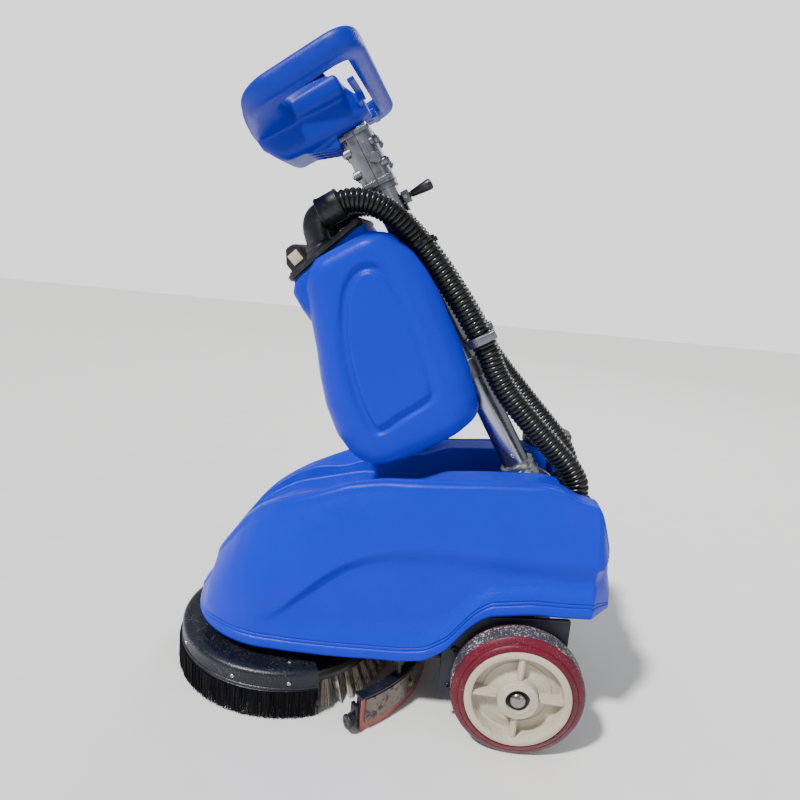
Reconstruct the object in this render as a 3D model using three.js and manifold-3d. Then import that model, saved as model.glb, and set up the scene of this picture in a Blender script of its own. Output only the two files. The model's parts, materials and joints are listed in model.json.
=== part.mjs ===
// Walk-behind floor scrubber with a folding column, as an assembly of separate solids.
// Units are millimetres. +Z is up, the front of the machine is -X and its left side is -Y.
// The origin is on the floor, below the centre of the machine's bounding box.
import * as THREE from 'three';
import { mergeVertices } from 'three/addons/utils/BufferGeometryUtils.js';
import Module from 'manifold-3d';

const wasm = await Module();
wasm.setup();

// ---- Driving dimensions -------------------------------------------------------------------

const GAP = 0.3; // clearance between two pieces that touch

// Brush deck, at the front. The brush axis is vertical.
const BRUSH_X = -163;
const SKIRT_RADIUS = 193;
const DECK_RADIUS = 187;
const DECK_TOP = 80;
const DECK_LIP = 42;
const DECK_HALF_OPENING = THREE.MathUtils.degToRad(62);

// Body moulding.
const SKIN = 5;
const NOSE_RADIUS = 158;
const BODY_TAIL = 356;
const TAIL_CHAMFER_START = 324;
const SHOULDER_RADIUS = 10;
const FLANK_CURVE = 2.6; // power of the flank's lean from its widest line up to the shoulder
const CHANNEL_HALF_WIDTH = 58; // the channel on top that the column folds into
const LEDGE_START = 262; // behind this the channel widens into the hose ledge
const LEDGE_HALF_WIDTH = 84;

// Wheels and chassis.
const WHEEL_X = 229;
const WHEEL_RADIUS = 100;
const HUB_RADIUS = 79.3;
const WHEEL_OUTER_Y = 199.3;
const WHEEL_WIDTH = 43;
const AXLE_RADIUS = 10;
const PLATE_OUTER_Y = 150;
const PLATE_THICKNESS = 5;

// Column: its own frame has the pivot at the origin, +Z up the tube and +X to the rear.
const PIVOT = new THREE.Vector3(240, 0, 343.5);
const COLUMN_LEAN = THREE.MathUtils.degToRad(31.8);
const TUBE_RADIUS = 22;
const TUBE_WALL = 3;
const TUBE_FOOT = 61;
const TUBE_TOP = 678;
const SECTOR_RADIUS = 33;
const CLAMP_BOTTOM = 560;
const CLAMP_TOP = 648.5;
const LEVER_HEIGHT = 530;
const LEVER_PIN_X = 27;
const LOCK_ROD_FOOT = 34;
const LOCK_WINDOW = 12.2; // half height of the rod's window round the lever's inner end
const PIN_CLEARANCE = 8.3; // radius of a hole for an 8 mm pin

// Handle moulding, in the column frame.
const HANDLE_BOTTOM = 690;
const HANDLE_TOP = 724;
const GRIP_REAR = 71;
const HANDLE_HALF_WIDTH = 205;
const HUB_HALF_WIDTH = 56;
const TRIGGER_SHAFT = [27.6, 672]; // x, z

// Recovery tank and its lid, in the column frame. The lid slopes down to the front.
const TANK_SKIN = 4;
const LID_SLOPE = THREE.MathUtils.degToRad(11.8);
const LID_CENTRE = new THREE.Vector3(-111, 0, 504);
const NECK_HALF_LENGTH = 68.5;
const NECK_HALF_WIDTH = 78;

// Hoses.
const HOSE_RADIUS = 19;
const HOSE_Y = 50;
const PORT = new THREE.Vector3(298, HOSE_Y, 362);
const FILLER = new THREE.Vector3(266, 116, 410);

// Squeegee: an arc about the brush axis.
const SQUEEGEE_RADIUS = 242;
const SQUEEGEE_HALF_ANGLE = THREE.MathUtils.degToRad(50);
const BLADE_SETBACK = 0.01; // radians between the end of a blade and the end of its holder
const STRAP_SETBACK = 0.035; // the same for the strap that clamps the rear blade
const TIP_ARM = 6; // thickness of the arm that holds a roller at each end
const GUIDE_ANGLE = THREE.MathUtils.degToRad(30);
const GUIDE_X = BRUSH_X + SQUEEGEE_RADIUS * Math.cos(GUIDE_ANGLE);
const GUIDE_Y = SQUEEGEE_RADIUS * Math.sin(GUIDE_ANGLE);

// ---- Materials ----------------------------------------------------------------------------

function finish(color, roughness, metalness = 0) {
  return new THREE.MeshStandardMaterial({ color, roughness, metalness });
}

const blue = () => finish(0x0b57e0, 0.45);
const black = () => finish(0x15161a, 0.55);
const blackSteel = () => finish(0x1a1a1c, 0.5, 0.4);
const aluminium = () => finish(0xa9adb2, 0.38, 0.9);
const steel = () => finish(0x8f8a84, 0.35, 0.9);
const maroon = () => finish(0x7a1230, 0.5);
const beige = () => finish(0xcfcabd, 0.6);
const rubber = () => finish(0xa8574f, 0.7);

// ---- Solids -------------------------------------------------------------------------------

function toSolid(geometry) {
  const bare = geometry.clone();
  bare.deleteAttribute('normal');
  bare.deleteAttribute('uv');
  const merged = mergeVertices(bare, 1e-4);
  const triangles = [];
  for (let i = 0; i < merged.index.count; i += 3) {
    const [a, b, c] = [0, 1, 2].map((k) => merged.index.getX(i + k));
    if (a !== b && b !== c && c !== a) triangles.push(a, b, c);
  }
  return new wasm.Manifold(new wasm.Mesh({
    numProp: 3,
    vertProperties: new Float32Array(merged.attributes.position.array),
    triVerts: new Uint32Array(triangles),
  }));
}

function toGeometry(solid) {
  const mesh = solid.getMesh();
  const geometry = new THREE.BufferGeometry();
  geometry.setAttribute('position', new THREE.BufferAttribute(mesh.vertProperties, 3));
  geometry.setIndex(new THREE.BufferAttribute(mesh.triVerts, 1));
  geometry.computeVertexNormals();
  return geometry;
}

function join(...pieces) {
  return toGeometry(pieces.map(toSolid).reduce((sum, piece) => sum.add(piece)));
}

function cut(body, ...tools) {
  return toGeometry(tools.map(toSolid).reduce((rest, tool) => rest.subtract(tool), toSolid(body)));
}

// A box between two corners.
function block(x0, x1, y0, y1, z0, z1) {
  const geometry = new THREE.BoxGeometry(x1 - x0, y1 - y0, z1 - z0);
  return geometry.translate((x0 + x1) / 2, (y0 + y1) / 2, (z0 + z1) / 2);
}

// Turns a geometry made about +Z so that its axis is along x, y or z, and moves it.
function along(axis, geometry, x, y, z) {
  if (axis === 'x') geometry.rotateY(Math.PI / 2);
  if (axis === 'y') geometry.rotateX(-Math.PI / 2);
  return geometry.translate(x, y, z);
}

// A solid of revolution about +Z. The profile is [radius, height] pairs, closed on itself or
// ending on the axis.
function turned(profile, sides) {
  const points = profile.map(([radius, height]) => new THREE.Vector2(radius, height));
  const onAxis = profile[0][0] === 0 && profile[profile.length - 1][0] === 0;
  if (!onAxis) points.push(points[0].clone());
  return outward(new THREE.LatheGeometry(points, sides).rotateX(Math.PI / 2));
}

function outward(geometry) {
  const position = geometry.attributes.position;
  const index = geometry.index;
  const corners = [0, 1, 2].map(() => new THREE.Vector3());
  let volume = 0;
  for (let i = 0; i < index.count; i += 3) {
    corners.forEach((corner, k) => corner.fromBufferAttribute(position, index.getX(i + k)));
    volume += corners[0].dot(corners[1].clone().cross(corners[2]));
  }
  if (volume < 0) {
    for (let i = 0; i < index.count; i += 3) {
      const first = index.getX(i);
      index.setX(i, index.getX(i + 1));
      index.setX(i + 1, first);
    }
  }
  return geometry;
}

function rod(axis, radius, length, x, y, z, sides = 12) {
  return along(axis, turned([[0, 0], [radius, 0], [radius, length], [0, length]], sides), x, y, z);
}

function sleeve(axis, outer, inner, length, x, y, z, sides = 12) {
  const profile = [[inner, 0], [outer, 0], [outer, length], [inner, length]];
  return along(axis, turned(profile, sides), x, y, z);
}

// A flat plate: an outline in XY, extruded from z0 to z1.
function slab(outline, z0, z1, curveSegments = 6) {
  const depth = z1 - z0;
  const geometry = new THREE.ExtrudeGeometry(outline, { depth, bevelEnabled: false, curveSegments });
  return geometry.translate(0, 0, z0);
}

// An outline given as [x, z] pairs, extruded along Y from y0 to y1.
function sideSlab(points, y0, y1) {
  const outline = new THREE.Shape(points.map(([x, z]) => new THREE.Vector2(x, z)));
  const geometry = new THREE.ExtrudeGeometry(outline, { depth: y1 - y0, bevelEnabled: false });
  return geometry.rotateX(Math.PI / 2).translate(0, y1, 0);
}

// A wall that follows an arc about the brush axis, from angle a0 to a1 measured from +X.
function arcWall(inner, outer, a0, a1, z0, z1, steps) {
  const outline = new THREE.Shape();
  outline.absarc(0, 0, outer, a0, a1, false);
  outline.absarc(0, 0, inner, a1, a0, true);
  outline.closePath();
  return slab(outline, z0, z1, steps).translate(BRUSH_X, 0, 0);
}

// The points of a rectangle with round corners, centred on (x, y).
function roundedPoints(halfX, halfY, radius, x = 0, y = 0, arcSteps = 3) {
  const points = [];
  for (let corner = 0; corner < 4; corner += 1) {
    const cx = x + (corner === 1 || corner === 2 ? -1 : 1) * (halfX - radius);
    const cy = y + (corner >= 2 ? -1 : 1) * (halfY - radius);
    for (let i = 0; i <= arcSteps; i += 1) {
      const angle = ((corner + i / arcSteps) * Math.PI) / 2;
      points.push(new THREE.Vector2(cx + radius * Math.cos(angle), cy + radius * Math.sin(angle)));
    }
  }
  return points;
}

function roundedRect(...measures) {
  return new THREE.Shape(roundedPoints(...measures));
}

// A round tube or bar along a smooth curve through the points.
function bar(points, radius, steps, sides = 12) {
  const path = new THREE.CatmullRomCurve3(points, false, 'centripetal');
  const section = new THREE.Shape();
  for (let i = 0; i < sides; i += 1) {
    const angle = (i / sides) * Math.PI * 2;
    const [x, y] = [radius * Math.cos(angle), radius * Math.sin(angle)];
    if (i === 0) section.moveTo(x, y);
    else section.lineTo(x, y);
  }
  section.closePath();
  return new THREE.ExtrudeGeometry(section, { steps, extrudePath: path, bevelEnabled: false });
}

// A closed skin over a row of sections, each a list of as many points as the others.
function loft(sections, flatten) {
  const count = sections[0].length;
  const positions = sections.flat().flatMap((point) => [point.x, point.y, point.z]);
  const index = [];
  for (let s = 0; s + 1 < sections.length; s += 1) {
    for (let k = 0; k < count; k += 1) {
      const a = s * count + k;
      const b = s * count + ((k + 1) % count);
      index.push(a, b, b + count, a, b + count, a + count);
    }
  }
  const last = (sections.length - 1) * count;
  const caps = (section) => THREE.ShapeUtils.triangulateShape(section.map(flatten), []);
  const reversed = THREE.ShapeUtils.isClockWise(sections[0].map(flatten));
  caps(sections[0]).forEach(([a, b, c]) => index.push(...(reversed ? [a, b, c] : [a, c, b])));
  caps(sections[sections.length - 1]).forEach(([a, b, c]) => {
    index.push(...(reversed ? [last + a, last + c, last + b] : [last + a, last + b, last + c]));
  });
  const geometry = new THREE.BufferGeometry();
  geometry.setAttribute('position', new THREE.Float32BufferAttribute(positions, 3));
  geometry.setIndex(index);
  return outward(geometry);
}

const machine = new THREE.Group();
const column = new THREE.Group();
column.position.copy(PIVOT);
column.rotation.y = -COLUMN_LEAN;
machine.add(column);
const lidGroup = new THREE.Group();
lidGroup.position.copy(LID_CENTRE);
lidGroup.rotation.y = -LID_SLOPE;
column.add(lidGroup);

function add(parent, name, geometry, material) {
  const mesh = new THREE.Mesh(geometry, material);
  mesh.name = name;
  parent.add(mesh);
  return mesh;
}

// ---- Body moulding ------------------------------------------------------------------------

// Stations along X: top of the side rims, floor of the channel between them, bottom edge.
const BODY_STATIONS = [
  [-320, 122, 122, 102],
  [-315, 142, 142, 102],
  [-288, 200, 198, 102],
  [-266, 231, 225, 102],
  [-223, 290, 274, 102],
  [-173, 322, 300, 102],
  [-60, 371, 332, 105],
  [0, 385, 337, 109],
  [50, 391, 335, 112],
  [85, 394, 330, 118],
  [118, 397, 315, 141],
  [134, 399, 300, 165],
  [152, 401, 300, 189],
  [175, 403, 300, 207],
  [240, 408, 300, 219],
  [270, 401, 300, 220],
  [277, 397, 362, 220],
  [291, 390, 362, 221],
  [324, 383, 362, 224],
  [350, 306, 305, 225],
  [BODY_TAIL, 262, 261, 225],
];

// The hollow under the skin follows only these stations.
const INNER_STATIONS = [-288, -223, -60, 50, 118, 134, 152, 270, 277, 324];

function bodyHalfWidth(x) {
  if (x < BRUSH_X) return Math.sqrt(Math.max(NOSE_RADIUS ** 2 - (x - BRUSH_X) ** 2, 400));
  const tail = Math.max(0, (x - TAIL_CHAMFER_START) / (BODY_TAIL - TAIL_CHAMFER_START));
  return NOSE_RADIUS + 2 - 40 * tail;
}

function shoulderHalfWidth(x) {
  const nose = Math.min(1, Math.max(0, (x + 322) / 250));
  return Math.min(bodyHalfWidth(x) - 2, 18 + 112 * Math.sin((nose * Math.PI) / 2));
}

function bodySection([x, top, floor, bottom], inset) {
  const wide = bodyHalfWidth(x) - inset;
  const shoulder = shoulderHalfWidth(x) - inset;
  const high = top - inset;
  const low = inset > 0 ? bottom - 40 : bottom;
  const edge = Math.min(SHOULDER_RADIUS, (high - low) * 0.3, shoulder * 0.4);
  const plateau = shoulder - edge;
  const channel = x > LEDGE_START ? LEDGE_HALF_WIDTH : CHANNEL_HALF_WIDTH;
  const rim = Math.min(channel + inset, plateau * 0.7);
  const lip = Math.min(5, plateau * 0.15);
  const half = [0, 0.4, 0.72, 1].map((t) => [
    wide + (shoulder - wide) * t ** FLANK_CURVE,
    low + (high - edge - low) * t,
  ]);
  half.push([plateau, high], [rim + lip, high], [rim, high - (high - floor + inset) * 0.1],
    [rim - lip, floor - inset]);
  const left = half.map(([y, z]) => new THREE.Vector3(x, -y, z));
  const right = half.map(([y, z]) => new THREE.Vector3(x, y, z)).reverse();
  return [...left, ...right];
}

function bodyShell() {
  const flatten = (point) => new THREE.Vector2(point.y, point.z);
  const outer = loft(BODY_STATIONS.map((row) => bodySection(row, 0)), flatten);
  const inside = BODY_STATIONS.filter(([x]) => INNER_STATIONS.includes(x));
  const inner = loft(inside.map((row) => bodySection(row, SKIN)), flatten);
  const holes = [-1, 1].map((side) => rod('z', 15, 30, PORT.x, side * PORT.y, PORT.z - 20, 12));
  const mouth = rod('z', 24, 80, FILLER.x, FILLER.y, 350, 18);
  const neck = turned([[24, -40], [29, -40], [29, 1], [36, 2], [36, 13], [24, 13]], 18);
  neck.translate(FILLER.x, FILLER.y, FILLER.z);
  return cut(join(cut(outer, inner, ...holes), neck), mouth);
}

function addBody() {
  add(machine, 'body_shell', bodyShell(), blue());
  const cap = turned([[0, 4], [0, 22], [41, 22], [44, 18], [44, 0], [36.6, 0], [36.6, 13.4],
    [23.4, 13.4], [23.4, 4]], 18);
  add(machine, 'filler_cap', cap.translate(FILLER.x, FILLER.y, FILLER.z), black());
}

// ---- Chassis, axle and wheels ---------------------------------------------------------------

function chassis() {
  const inner = PLATE_OUTER_Y - PLATE_THICKNESS;
  const pieces = [];
  const outline = [[112, 50], [150, 50], [200, 72], [262, 72], [300, 140], [299, 212], [160, 198],
    [126, 160], [112, 140]];
  for (const side of [-1, 1]) {
    const y0 = side < 0 ? -PLATE_OUTER_Y : inner;
    pieces.push(sideSlab(outline, y0, y0 + PLATE_THICKNESS));
    pieces.push(sleeve('z', 11, 5.4, 26, GUIDE_X, side * GUIDE_Y, 84));
    pieces.push(block(GUIDE_X + 8, 116, side * GUIDE_Y - 8, side * GUIDE_Y + 8, 104, 110));
  }
  pieces.push(block(112, 117, -inner - 1, inner + 1, 104, 138));
  pieces.push(block(-255, 116, -98, 98, 106, 110));
  pieces.push(block(116, 298, -inner - 1, inner + 1, 120, 124));
  pieces.push(block(215, 265, -40, 40, 123, 294.5));
  for (const x of [-240, -86]) {
    for (const y of [-85, 85]) pieces.push(rod('z', 8, 27, x, y, DECK_TOP + GAP, 8));
  }
  const axleHoles = rod('y', AXLE_RADIUS + GAP, 320, WHEEL_X, -160, WHEEL_RADIUS, 14);
  const gearHole = rod('z', 47, 20, BRUSH_X, 0, 100, 18);
  return cut(join(...pieces), axleHoles, gearHole);
}

function addWheel(side, label) {
  const flip = (geometry) => (side < 0 ? geometry.rotateX(Math.PI) : geometry);
  const place = (geometry) => flip(along('y', geometry, 0, 0, 0)).translate(WHEEL_X, 0, WHEEL_RADIUS);
  const outer = WHEEL_OUTER_Y;
  const inner = outer - WHEEL_WIDTH;
  const tyre = turned([[80, inner + 2], [95, inner], [99, inner + 1.5], [WHEEL_RADIUS, inner + 5],
    [WHEEL_RADIUS, outer - 12], [99.2, outer - 8.9], [80.3, outer]], 32);
  const rim = turned([[70, inner + 4], [HUB_RADIUS, inner + 4], [HUB_RADIUS, outer - 0.5], [70, outer],
    [67, outer - 12], [30, outer - 9], [29, outer + 2.5], [18, outer + 2.5], [18, inner + 4],
    [30, inner + 4], [31, outer - 20], [66, outer - 20]], 20);
  const ribs = [0, 1, 2, 3].map((i) => {
    const rib = block(26, 69, -3.5, 3.5, outer - 16, outer - 2.5);
    return rib.rotateZ((i * Math.PI) / 2);
  });
  add(machine, `wheel_${label}_tyre`, place(tyre), maroon());
  add(machine, `wheel_${label}_hub`, place(join(rim, ...ribs)), beige());
  const race = turned([[AXLE_RADIUS + GAP, inner + 6], [17.6, inner + 6], [17.6, outer - 6],
    [AXLE_RADIUS + GAP, outer - 6]], 14);
  add(machine, `wheel_${label}_bearing`, place(race), blackSteel());
}

function addChassis() {
  add(machine, 'chassis_frame', chassis(), blackSteel());
  const end = WHEEL_OUTER_Y - 4;
  const dome = [[AXLE_RADIUS, end], [12, end], [12, end + 5], [9, end + 8], [4.5, end + 9.4],
    [0, end + 9.8]];
  const mirrored = dome.slice(0, -1).reverse().map(([radius, y]) => [radius, -y]);
  const axle = turned([[0, -end - 9.8], ...mirrored, ...dome], 14);
  add(machine, 'axle', along('y', axle, WHEEL_X, 0, WHEEL_RADIUS), steel());
  addWheel(-1, 'left');
  addWheel(1, 'right');
}

// ---- Deck, brush and drive ------------------------------------------------------------------

function addDeck() {
  const a0 = DECK_HALF_OPENING;
  const a1 = Math.PI * 2 - DECK_HALF_OPENING;
  const wall = arcWall(DECK_RADIUS - 3, DECK_RADIUS, a0, a1, DECK_LIP, DECK_TOP - 4, 18);
  const top = arcWall(40, DECK_RADIUS - 2, a0, a1, DECK_TOP - 4.5, DECK_TOP, 18);
  add(machine, 'deck_shroud', join(wall, top), black());
  const skirt = arcWall(DECK_RADIUS + GAP, SKIRT_RADIUS, a0, a1, 0, DECK_LIP + 6, 18);
  add(machine, 'skirt_bristles', skirt, black());

  const plate = turned([[0, 40], [160, 40], [165, 46], [165, 56], [160, 62], [0, 62]], 20);
  add(machine, 'brush_block', plate.translate(BRUSH_X, 0, 0), black());
  const tufts = turned([[70, 39.7], [160, 39.7], [181, 1], [70, 1]], 20);
  add(machine, 'brush_tufts', tufts.translate(BRUSH_X, 0, 0), beige());
  const driveHub = turned([[0, 62.3], [28, 62.3], [28, 74], [20, 80], [20, 86], [0, 86]], 16);
  add(machine, 'drive_hub', driveHub.translate(BRUSH_X, 0, 0), steel());

  const gearbox = turned([[0, 86.4], [44, 86.4], [46, 90], [46, 120], [0, 120]], 16);
  add(machine, 'brush_gearbox', gearbox.translate(BRUSH_X, 0, 0), aluminium());
  const motorProfile = [[0, 120.4], [50, 120.4], [50, 205], [44, 212], [14, 214], [14, 222], [0, 222]];
  const motor = turned(motorProfile, 16);
  add(machine, 'brush_motor', motor.translate(BRUSH_X, 0, 0), blackSteel());
}

function addInside() {
  add(machine, 'battery_pack', block(-98, -5, -90, 90, 110.3, 225), black());
  add(machine, 'clean_water_tank', block(2, 105, -115, 115, 110.3, 312), beige());
  const vacuum = turned([[0, 124.3], [46, 124.3], [46, 190], [36, 196], [36, 235], [0, 240]], 14);
  add(machine, 'vacuum_motor', vacuum.translate(166, 0, 0), blackSteel());
}

// ---- Squeegee -------------------------------------------------------------------------------

function addSqueegee() {
  const a = SQUEEGEE_HALF_ANGLE;
  const r = SQUEEGEE_RADIUS;
  const core = arcWall(r - 4, r + 4, -a, a, 16, 58, 10);
  const topPlate = arcWall(r - 9, r + 10, -a, a, 57, 62, 10);
  const posts = [-1, 1].map((side) => rod('z', 5, 72, GUIDE_X, side * GUIDE_Y, 60, 10));
  const port = sleeve('z', 20, 15, 18, BRUSH_X + r, 0, 60, 14);
  const throat = rod('z', 3, 60, BRUSH_X + r, 0, 10, 8);
  const tips = [-1, 1].map((side) => {
    const arm = block(r - 12, r + 3, side > 0 ? 0 : -TIP_ARM, side > 0 ? TIP_ARM : 0, 12, 44);
    return arm.rotateZ(side * (a - 0.002)).translate(BRUSH_X, 0, 0);
  });
  add(machine, 'squeegee_holder', cut(join(core, topPlate, ...posts, port, ...tips), throat), black());
  const b = a - BLADE_SETBACK;
  add(machine, 'squeegee_blade_front', arcWall(r - 7.6, r - 4.3, -b, b, 0.5, 52, 10), rubber());
  add(machine, 'squeegee_blade_rear', arcWall(r + 4.3, r + 7.6, -b, b, 0.5, 56, 10), rubber());
  const knobs = [-1, 1].map((side) => {
    const profile = [[0, 0], [7, 0], [7, 4], [5, 6], [0, 6]];
    const knob = along('x', turned(profile, 12), r + 9, 0, 36);
    return knob.rotateZ(side * THREE.MathUtils.degToRad(24)).translate(BRUSH_X, 0, 0);
  });
  const c = a - STRAP_SETBACK;
  const strap = arcWall(r + 7.9, r + 9.9, -c, c, 15, 56, 10);
  add(machine, 'squeegee_strap', join(strap, ...knobs), steel());
  for (const [side, label] of [[-1, 'left'], [1, 'right']]) {
    const profile = [[0, 0], [10.5, 0], [12, 1.5], [12, 11.5], [10.5, 13], [0, 13]];
    const roller = along('y', turned(profile, 16), 0, 0, 0);
    roller.translate(r, side > 0 ? TIP_ARM + 0.6 : -TIP_ARM - 13.6, 20);
    roller.rotateZ(side * a).translate(BRUSH_X, 0, 0);
    add(machine, `squeegee_roller_${label}`, roller, black());
  }
}

// ---- Column, foot and lock ------------------------------------------------------------------

// Side view of each cheek of the pivot bracket, as [x, z].
const CHEEK_OUTLINE = [[208, 303], [260, 303], [260, 356], [250, 366], [230, 366], [219, 356]];

function addPivot() {
  const base = block(208, 260, -42, 42, 300.3, 306);
  const cheeks = [-1, 1].map((side) => {
    const y0 = side < 0 ? -42 : 34;
    return sideSlab(CHEEK_OUTLINE, y0, y0 + 8);
  });
  const sector = rod('y', SECTOR_RADIUS, 16, PIVOT.x, -8, PIVOT.z, 28);
  const web = block(222, 258, -8, 8, 303, 330);
  const pinHole = rod('y', PIN_CLEARANCE, 100, PIVOT.x, -50, PIVOT.z, 14);
  const bracket = cut(join(base, ...cheeks, sector, web), pinHole);
  add(machine, 'pivot_bracket', bracket, aluminium());
  const pin = turned([[0, -48], [12, -48], [12, -42.4], [8, -42.4], [8, 46], [0, 46]], 14);
  add(machine, 'pivot_pin', along('y', pin, PIVOT.x, 0, PIVOT.z), steel());
}

function columnFoot() {
  const ears = [-1, 1].map((side) => {
    const y0 = side < 0 ? -30 : 9;
    const ear = rod('y', 27, 21, 0, y0, 0, 20);
    return [ear, block(-24, 24, y0, y0 + 21, 0, 50)];
  });
  const collar = rod('z', 30, 26, 0, 0, 42, 24);
  const socket = rod('z', TUBE_RADIUS + GAP, 30, 0, 0, TUBE_FOOT - GAP, 24);
  const rodHole = rod('z', 5, 60, 0, 0, 35, 10);
  const pinHole = rod('y', PIN_CLEARANCE, 80, 0, -40, 0, 14);
  return cut(join(...ears.flat(), collar), socket, rodHole, pinHole);
}

function tube() {
  const length = TUBE_TOP - TUBE_FOOT;
  const body = sleeve('z', TUBE_RADIUS, TUBE_RADIUS - TUBE_WALL, length, 0, 0, TUBE_FOOT, 24);
  const slot = block(10, 30, -6.5, 6.5, LEVER_HEIGHT - 14, LEVER_HEIGHT + 14);
  return cut(body, slot);
}

// The lever tips about its pin, and its inner end lifts the rod by the window in it.
function addLock() {
  const h = LEVER_HEIGHT;
  const shaft = rod('z', 4, h + LOCK_WINDOW + 5 - LOCK_ROD_FOOT, 0, 0, LOCK_ROD_FOOT, 12);
  const head = rod('z', 9, 5, 0, 0, h + LOCK_WINDOW + GAP, 12);
  const window = block(-6, 6, -6, 6, h - LOCK_WINDOW, h + LOCK_WINDOW);
  const side = block(-9, -6.5, -5, 5, h - LOCK_WINDOW - 4, h + LOCK_WINDOW + 4);
  const foot = block(-9, 5, -5, 5, h - LOCK_WINDOW - 4, h - LOCK_WINDOW);
  add(column, 'lock_rod', join(cut(shaft, window), head, side, foot), steel());

  const cheeks = [-1, 1].map((s) => block(22.4, LEVER_PIN_X + 7, s * 9 - 2.5, s * 9 + 2.5, h - 9, h + 9));
  const yoke = block(22.4, 25, -11, 11, h - 20, h - 8.5);
  const pinHole = rod('y', 3.3, 40, LEVER_PIN_X, -20, h, 12);
  add(column, 'lever_bracket', cut(join(...cheeks, yoke), pinHole), aluminium());
  add(column, 'lever_pin', rod('y', 3, 26, LEVER_PIN_X, -13, h, 12), steel());

  const arm = join(block(-3, 36, -4, 4, h - 4, h + 4), rod('y', 7, 12, LEVER_PIN_X, -6, h, 12));
  add(column, 'lever_arm', cut(arm, pinHole), blackSteel());
  const grip = turned([[0, 36.3], [5, 36.3], [8.5, 62], [8.5, 69], [6, 71.5], [0, 72]], 12);
  add(column, 'lever_grip', along('x', grip, 0, 0, h), black());
}

function clampHalf(side) {
  const half = new THREE.Shape();
  half.moveTo(side * 0.4, -31);
  half.lineTo(side * 20, -31);
  half.lineTo(side * 29, -20);
  half.lineTo(side * 29, 20);
  half.lineTo(side * 20, 31);
  half.lineTo(side * 0.4, 31);
  half.closePath();
  const body = slab(half, CLAMP_BOTTOM, CLAMP_TOP);
  const skirt = sleeve('z', 26, 21, 9, 0, 0, CLAMP_BOTTOM - 8, 24);
  const cutter = side < 0 ? block(-0.4, 60, -40, 40, 500, 700) : block(-60, 0.4, -40, 40, 500, 700);
  const lugs = [580, 616].map((z) => rod('x', 7, 8, side < 0 ? -35 : 27, 24, z, 10));
  const nearLugs = [580, 616].map((z) => rod('x', 7, 8, side < 0 ? -35 : 27, -24, z, 10));
  const bore = rod('z', TUBE_RADIUS + GAP, 200, 0, 0, 500, 24);
  const tip = cut(skirt, cutter);
  return cut(join(body, tip, ...lugs, ...nearLugs), bore);
}

function addColumn() {
  add(column, 'column_foot', columnFoot(), aluminium());
  add(column, 'column_tube', tube(), aluminium());
  add(column, 'clamp_front', clampHalf(-1), aluminium());
  add(column, 'clamp_rear', clampHalf(1), aluminium());
}

// ---- Handle ---------------------------------------------------------------------------------

function handleOutline() {
  const s = new THREE.Shape();
  const w = HANDLE_HALF_WIDTH;
  s.moveTo(GRIP_REAR, -160);
  s.quadraticCurveTo(GRIP_REAR, -w, 30, -w);
  s.lineTo(-60, -198);
  s.quadraticCurveTo(-100, -190, -112, -140);
  s.quadraticCurveTo(-136, -70, -136, 0);
  s.quadraticCurveTo(-136, 70, -112, 140);
  s.quadraticCurveTo(-100, 190, -60, 198);
  s.lineTo(30, w);
  s.quadraticCurveTo(GRIP_REAR, w, GRIP_REAR, 160);
  s.closePath();
  return s;
}

// Side view of the hub in the column frame, from its lower front corner round to the rear.
const HUB_PROFILE = [[-124, 668], [-108, 650], [-28, 649], [25, 651], [31, 664], [16, 690], [14, 722],
  [4, 732], [-64, 732], [-112, 722], [-132, 700]];

// The opening inside the grip: two windows joined behind the hub.
function handleOpening() {
  const s = new THREE.Shape();
  const [rear, front, out] = [43, -62, 167];
  s.moveTo(rear, -150);
  s.lineTo(rear, 150);
  s.quadraticCurveTo(rear, out, 26, out);
  s.lineTo(front + 30, out - 6);
  s.quadraticCurveTo(front, out - 8, front, 130);
  s.lineTo(front, HUB_HALF_WIDTH + 4);
  s.lineTo(16, HUB_HALF_WIDTH + 4);
  s.lineTo(16, -HUB_HALF_WIDTH - 4);
  s.lineTo(front, -HUB_HALF_WIDTH - 4);
  s.lineTo(front, -130);
  s.quadraticCurveTo(front, -out + 8, front + 30, -out + 6);
  s.lineTo(26, -out);
  s.quadraticCurveTo(rear, -out, rear, -150);
  return s;
}

function handleShell() {
  const ring = slab(handleOutline(), HANDLE_BOTTOM, HANDLE_TOP, 6);
  const opening = slab(handleOpening(), HANDLE_BOTTOM - 10, HANDLE_TOP + 10, 5);
  const hub = sideSlab(HUB_PROFILE, -HUB_HALF_WIDTH, HUB_HALF_WIDTH);
  const bore = rod('z', TUBE_RADIUS + GAP, 60, 0, 0, 620, 24); // takes the top of the tube
  const cavity = block(-104, -28, -46, 46, 620, 700);
  const [shaftX, shaftZ] = TRIGGER_SHAFT;
  const shaftHole = rod('y', 4, 130, shaftX, -65, shaftZ, 10);
  return cut(join(cut(ring, opening), hub), bore, cavity, shaftHole);
}

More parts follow.
